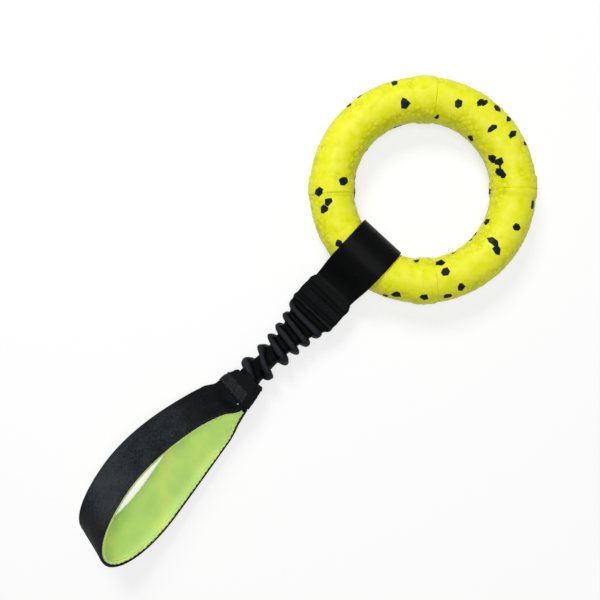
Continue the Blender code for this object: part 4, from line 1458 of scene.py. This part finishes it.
def soft_lamp(name, place, width, power):
    """A round lamp that faces the toy's middle."""
    lamp = bpy.data.lights.new(name, "AREA")
    lamp.shape = "DISK"
    lamp.size = width
    lamp.energy = power
    holder = bpy.data.objects.new(name, lamp)
    holder.location = place
    holder.rotation_euler = (-Vector(place)).to_track_quat("-Z", "Y").to_euler()
    bpy.context.scene.collection.objects.link(holder)


def make_floor():
    """A pale floor that keeps the toy's soft shadow and otherwise shows white."""
    finish = Finish("pale_floor", 0.9, specular=0.0)
    finish.shader.inputs["Base Color"].default_value = FLOOR_COLOUR
    glow = finish.node("ShaderNodeEmission")
    share = finish.times(finish.seen_directly(), FLOOR_GLOW_SHARE)
    mix = finish.node("ShaderNodeMixShader", _0=share, _1=finish.shader.outputs[0], _2=glow.outputs[0])
    finish.feed(finish.tree.nodes["Material Output"].inputs["Surface"], mix.outputs[0])
    corners = [(x * FLOOR_REACH, y * FLOOR_REACH, 0.0) for x, y in ((-1, -1), (1, -1), (1, 1), (-1, 1))]
    link_piece("floor", corners, [(0, 1, 2, 3)], finish.material)


def make_world():
    """White where it is looked at, and a plain low light everywhere else."""
    world = bpy.data.worlds.new("studio")
    world.use_nodes = True
    nodes = Nodes(world.node_tree)
    background = world.node_tree.nodes["Background"].inputs
    background["Color"].default_value = (1.0, 1.0, 1.0, 1.0)
    nodes.feed(background["Strength"], nodes.spread(nodes.seen_directly(), WORLD_LIGHT, 1.0))
    bpy.context.scene.world = world


def make_camera():
    data = bpy.data.cameras.new("view")
    data.sensor_width = 36.0
    data.lens = CAMERA_LENS_MM
    camera = bpy.data.objects.new("view", data)
    camera.location = CAMERA_PLACE
    camera.rotation_euler = (0.0, 0.0, math.radians(CAMERA_TURN_DEG))
    bpy.context.scene.collection.objects.link(camera)
    bpy.context.scene.camera = camera


def make_stage():
    bpy.context.scene.view_settings.view_transform = "Standard"
    make_world()
    make_floor()
    make_camera()
    for name, place, width, power in LAMPS:
        soft_lamp(name, place, width, power)


def made(context, *makers):
    """Calls makers of pieces with the scene's sizes and colours."""
    for maker in makers:
        maker(context.scene.tug_toy_sizes, context.scene.tug_toy_colours)
    return {"FINISHED"}


class TUGTOY_OT_ring(bpy.types.Operator):
    """Mould the rubber ring"""

    bl_idname = "tugtoy.ring"
    bl_label = "Ring"
    bl_options = {"REGISTER", "UNDO"}

    def execute(self, context):
        return made(context, make_ring)


class TUGTOY_OT_flecks(bpy.types.Operator):
    """Set the black flecks into the ring"""

    bl_idname = "tugtoy.flecks"
    bl_label = "Flecks"
    bl_options = {"REGISTER", "UNDO"}

    def execute(self, context):
        return made(context, make_flecks)


class TUGTOY_OT_ring_strap(bpy.types.Operator):
    """Wrap the satin strap round the ring"""

    bl_idname = "tugtoy.ring_strap"
    bl_label = "Ring Strap"
    bl_options = {"REGISTER", "UNDO"}

    def execute(self, context):
        return made(context, make_ring_strap)


class TUGTOY_OT_bungee(bpy.types.Operator):
    """Gather the bungee's sleeve over its elastic"""

    bl_idname = "tugtoy.bungee"
    bl_label = "Bungee"
    bl_options = {"REGISTER", "UNDO"}

    def execute(self, context):
        return made(context, make_elastic, make_bungee_sleeve)


class TUGTOY_OT_tab(bpy.types.Operator):
    """Fold and stitch the tab"""

    bl_idname = "tugtoy.tab"
    bl_label = "Sewn Tab"
    bl_options = {"REGISTER", "UNDO"}

    def execute(self, context):
        return made(context, make_sewn_tab, make_tab_stitching, make_loose_thread)


class TUGTOY_OT_hand_loop(bpy.types.Operator):
    """Make the hand loop of webbing and lining"""

    bl_idname = "tugtoy.hand_loop"
    bl_label = "Hand Loop"
    bl_options = {"REGISTER", "UNDO"}

    def execute(self, context):
        return made(context, make_handle_webbing, make_handle_lining, make_handle_stitching)


class TUGTOY_OT_stage(bpy.types.Operator):
    """Set the floor, the light and the camera"""

    bl_idname = "tugtoy.stage"
    bl_label = "Stage"
    bl_options = {"REGISTER", "UNDO"}

    def execute(self, context):
        make_stage()
        return {"FINISHED"}


class TUGTOY_PT_panel(bpy.types.Panel):
    """Lists the toy's pieces, sizes and colours"""

    bl_idname = "TUGTOY_PT_panel"
    bl_label = "Tug Toy"
    bl_space_type = "VIEW_3D"
    bl_region_type = "UI"
    bl_category = "Tug Toy"

    def draw(self, context):
        for operator in OPERATORS:
            self.layout.operator(operator.bl_idname)
        for group in (context.scene.tug_toy_sizes, context.scene.tug_toy_colours):
            column = self.layout.column(align=True)
            for key in group.__annotations__:
                column.prop(group, key)


OPERATORS = (
    TUGTOY_OT_stage,
    TUGTOY_OT_ring,
    TUGTOY_OT_flecks,
    TUGTOY_OT_ring_strap,
    TUGTOY_OT_bungee,
    TUGTOY_OT_tab,
    TUGTOY_OT_hand_loop,
)
CLASSES = (TugToySizes, TugToyColours, *OPERATORS, TUGTOY_PT_panel)


def register():
    for item in CLASSES:
        bpy.utils.register_class(item)
    bpy.types.Scene.tug_toy_sizes = PointerProperty(type=TugToySizes)
    bpy.types.Scene.tug_toy_colours = PointerProperty(type=TugToyColours)


def unregister():
    del bpy.types.Scene.tug_toy_sizes
    del bpy.types.Scene.tug_toy_colours
    for item in reversed(CLASSES):
        bpy.utils.unregister_class(item)


def main():
    register()
    bpy.ops.tugtoy.stage()
    bpy.ops.tugtoy.ring()
    bpy.ops.tugtoy.flecks()
    bpy.ops.tugtoy.ring_strap()
    bpy.ops.tugtoy.bungee()
    bpy.ops.tugtoy.tab()
    bpy.ops.tugtoy.hand_loop()


if __name__ == "__main__":
    main()
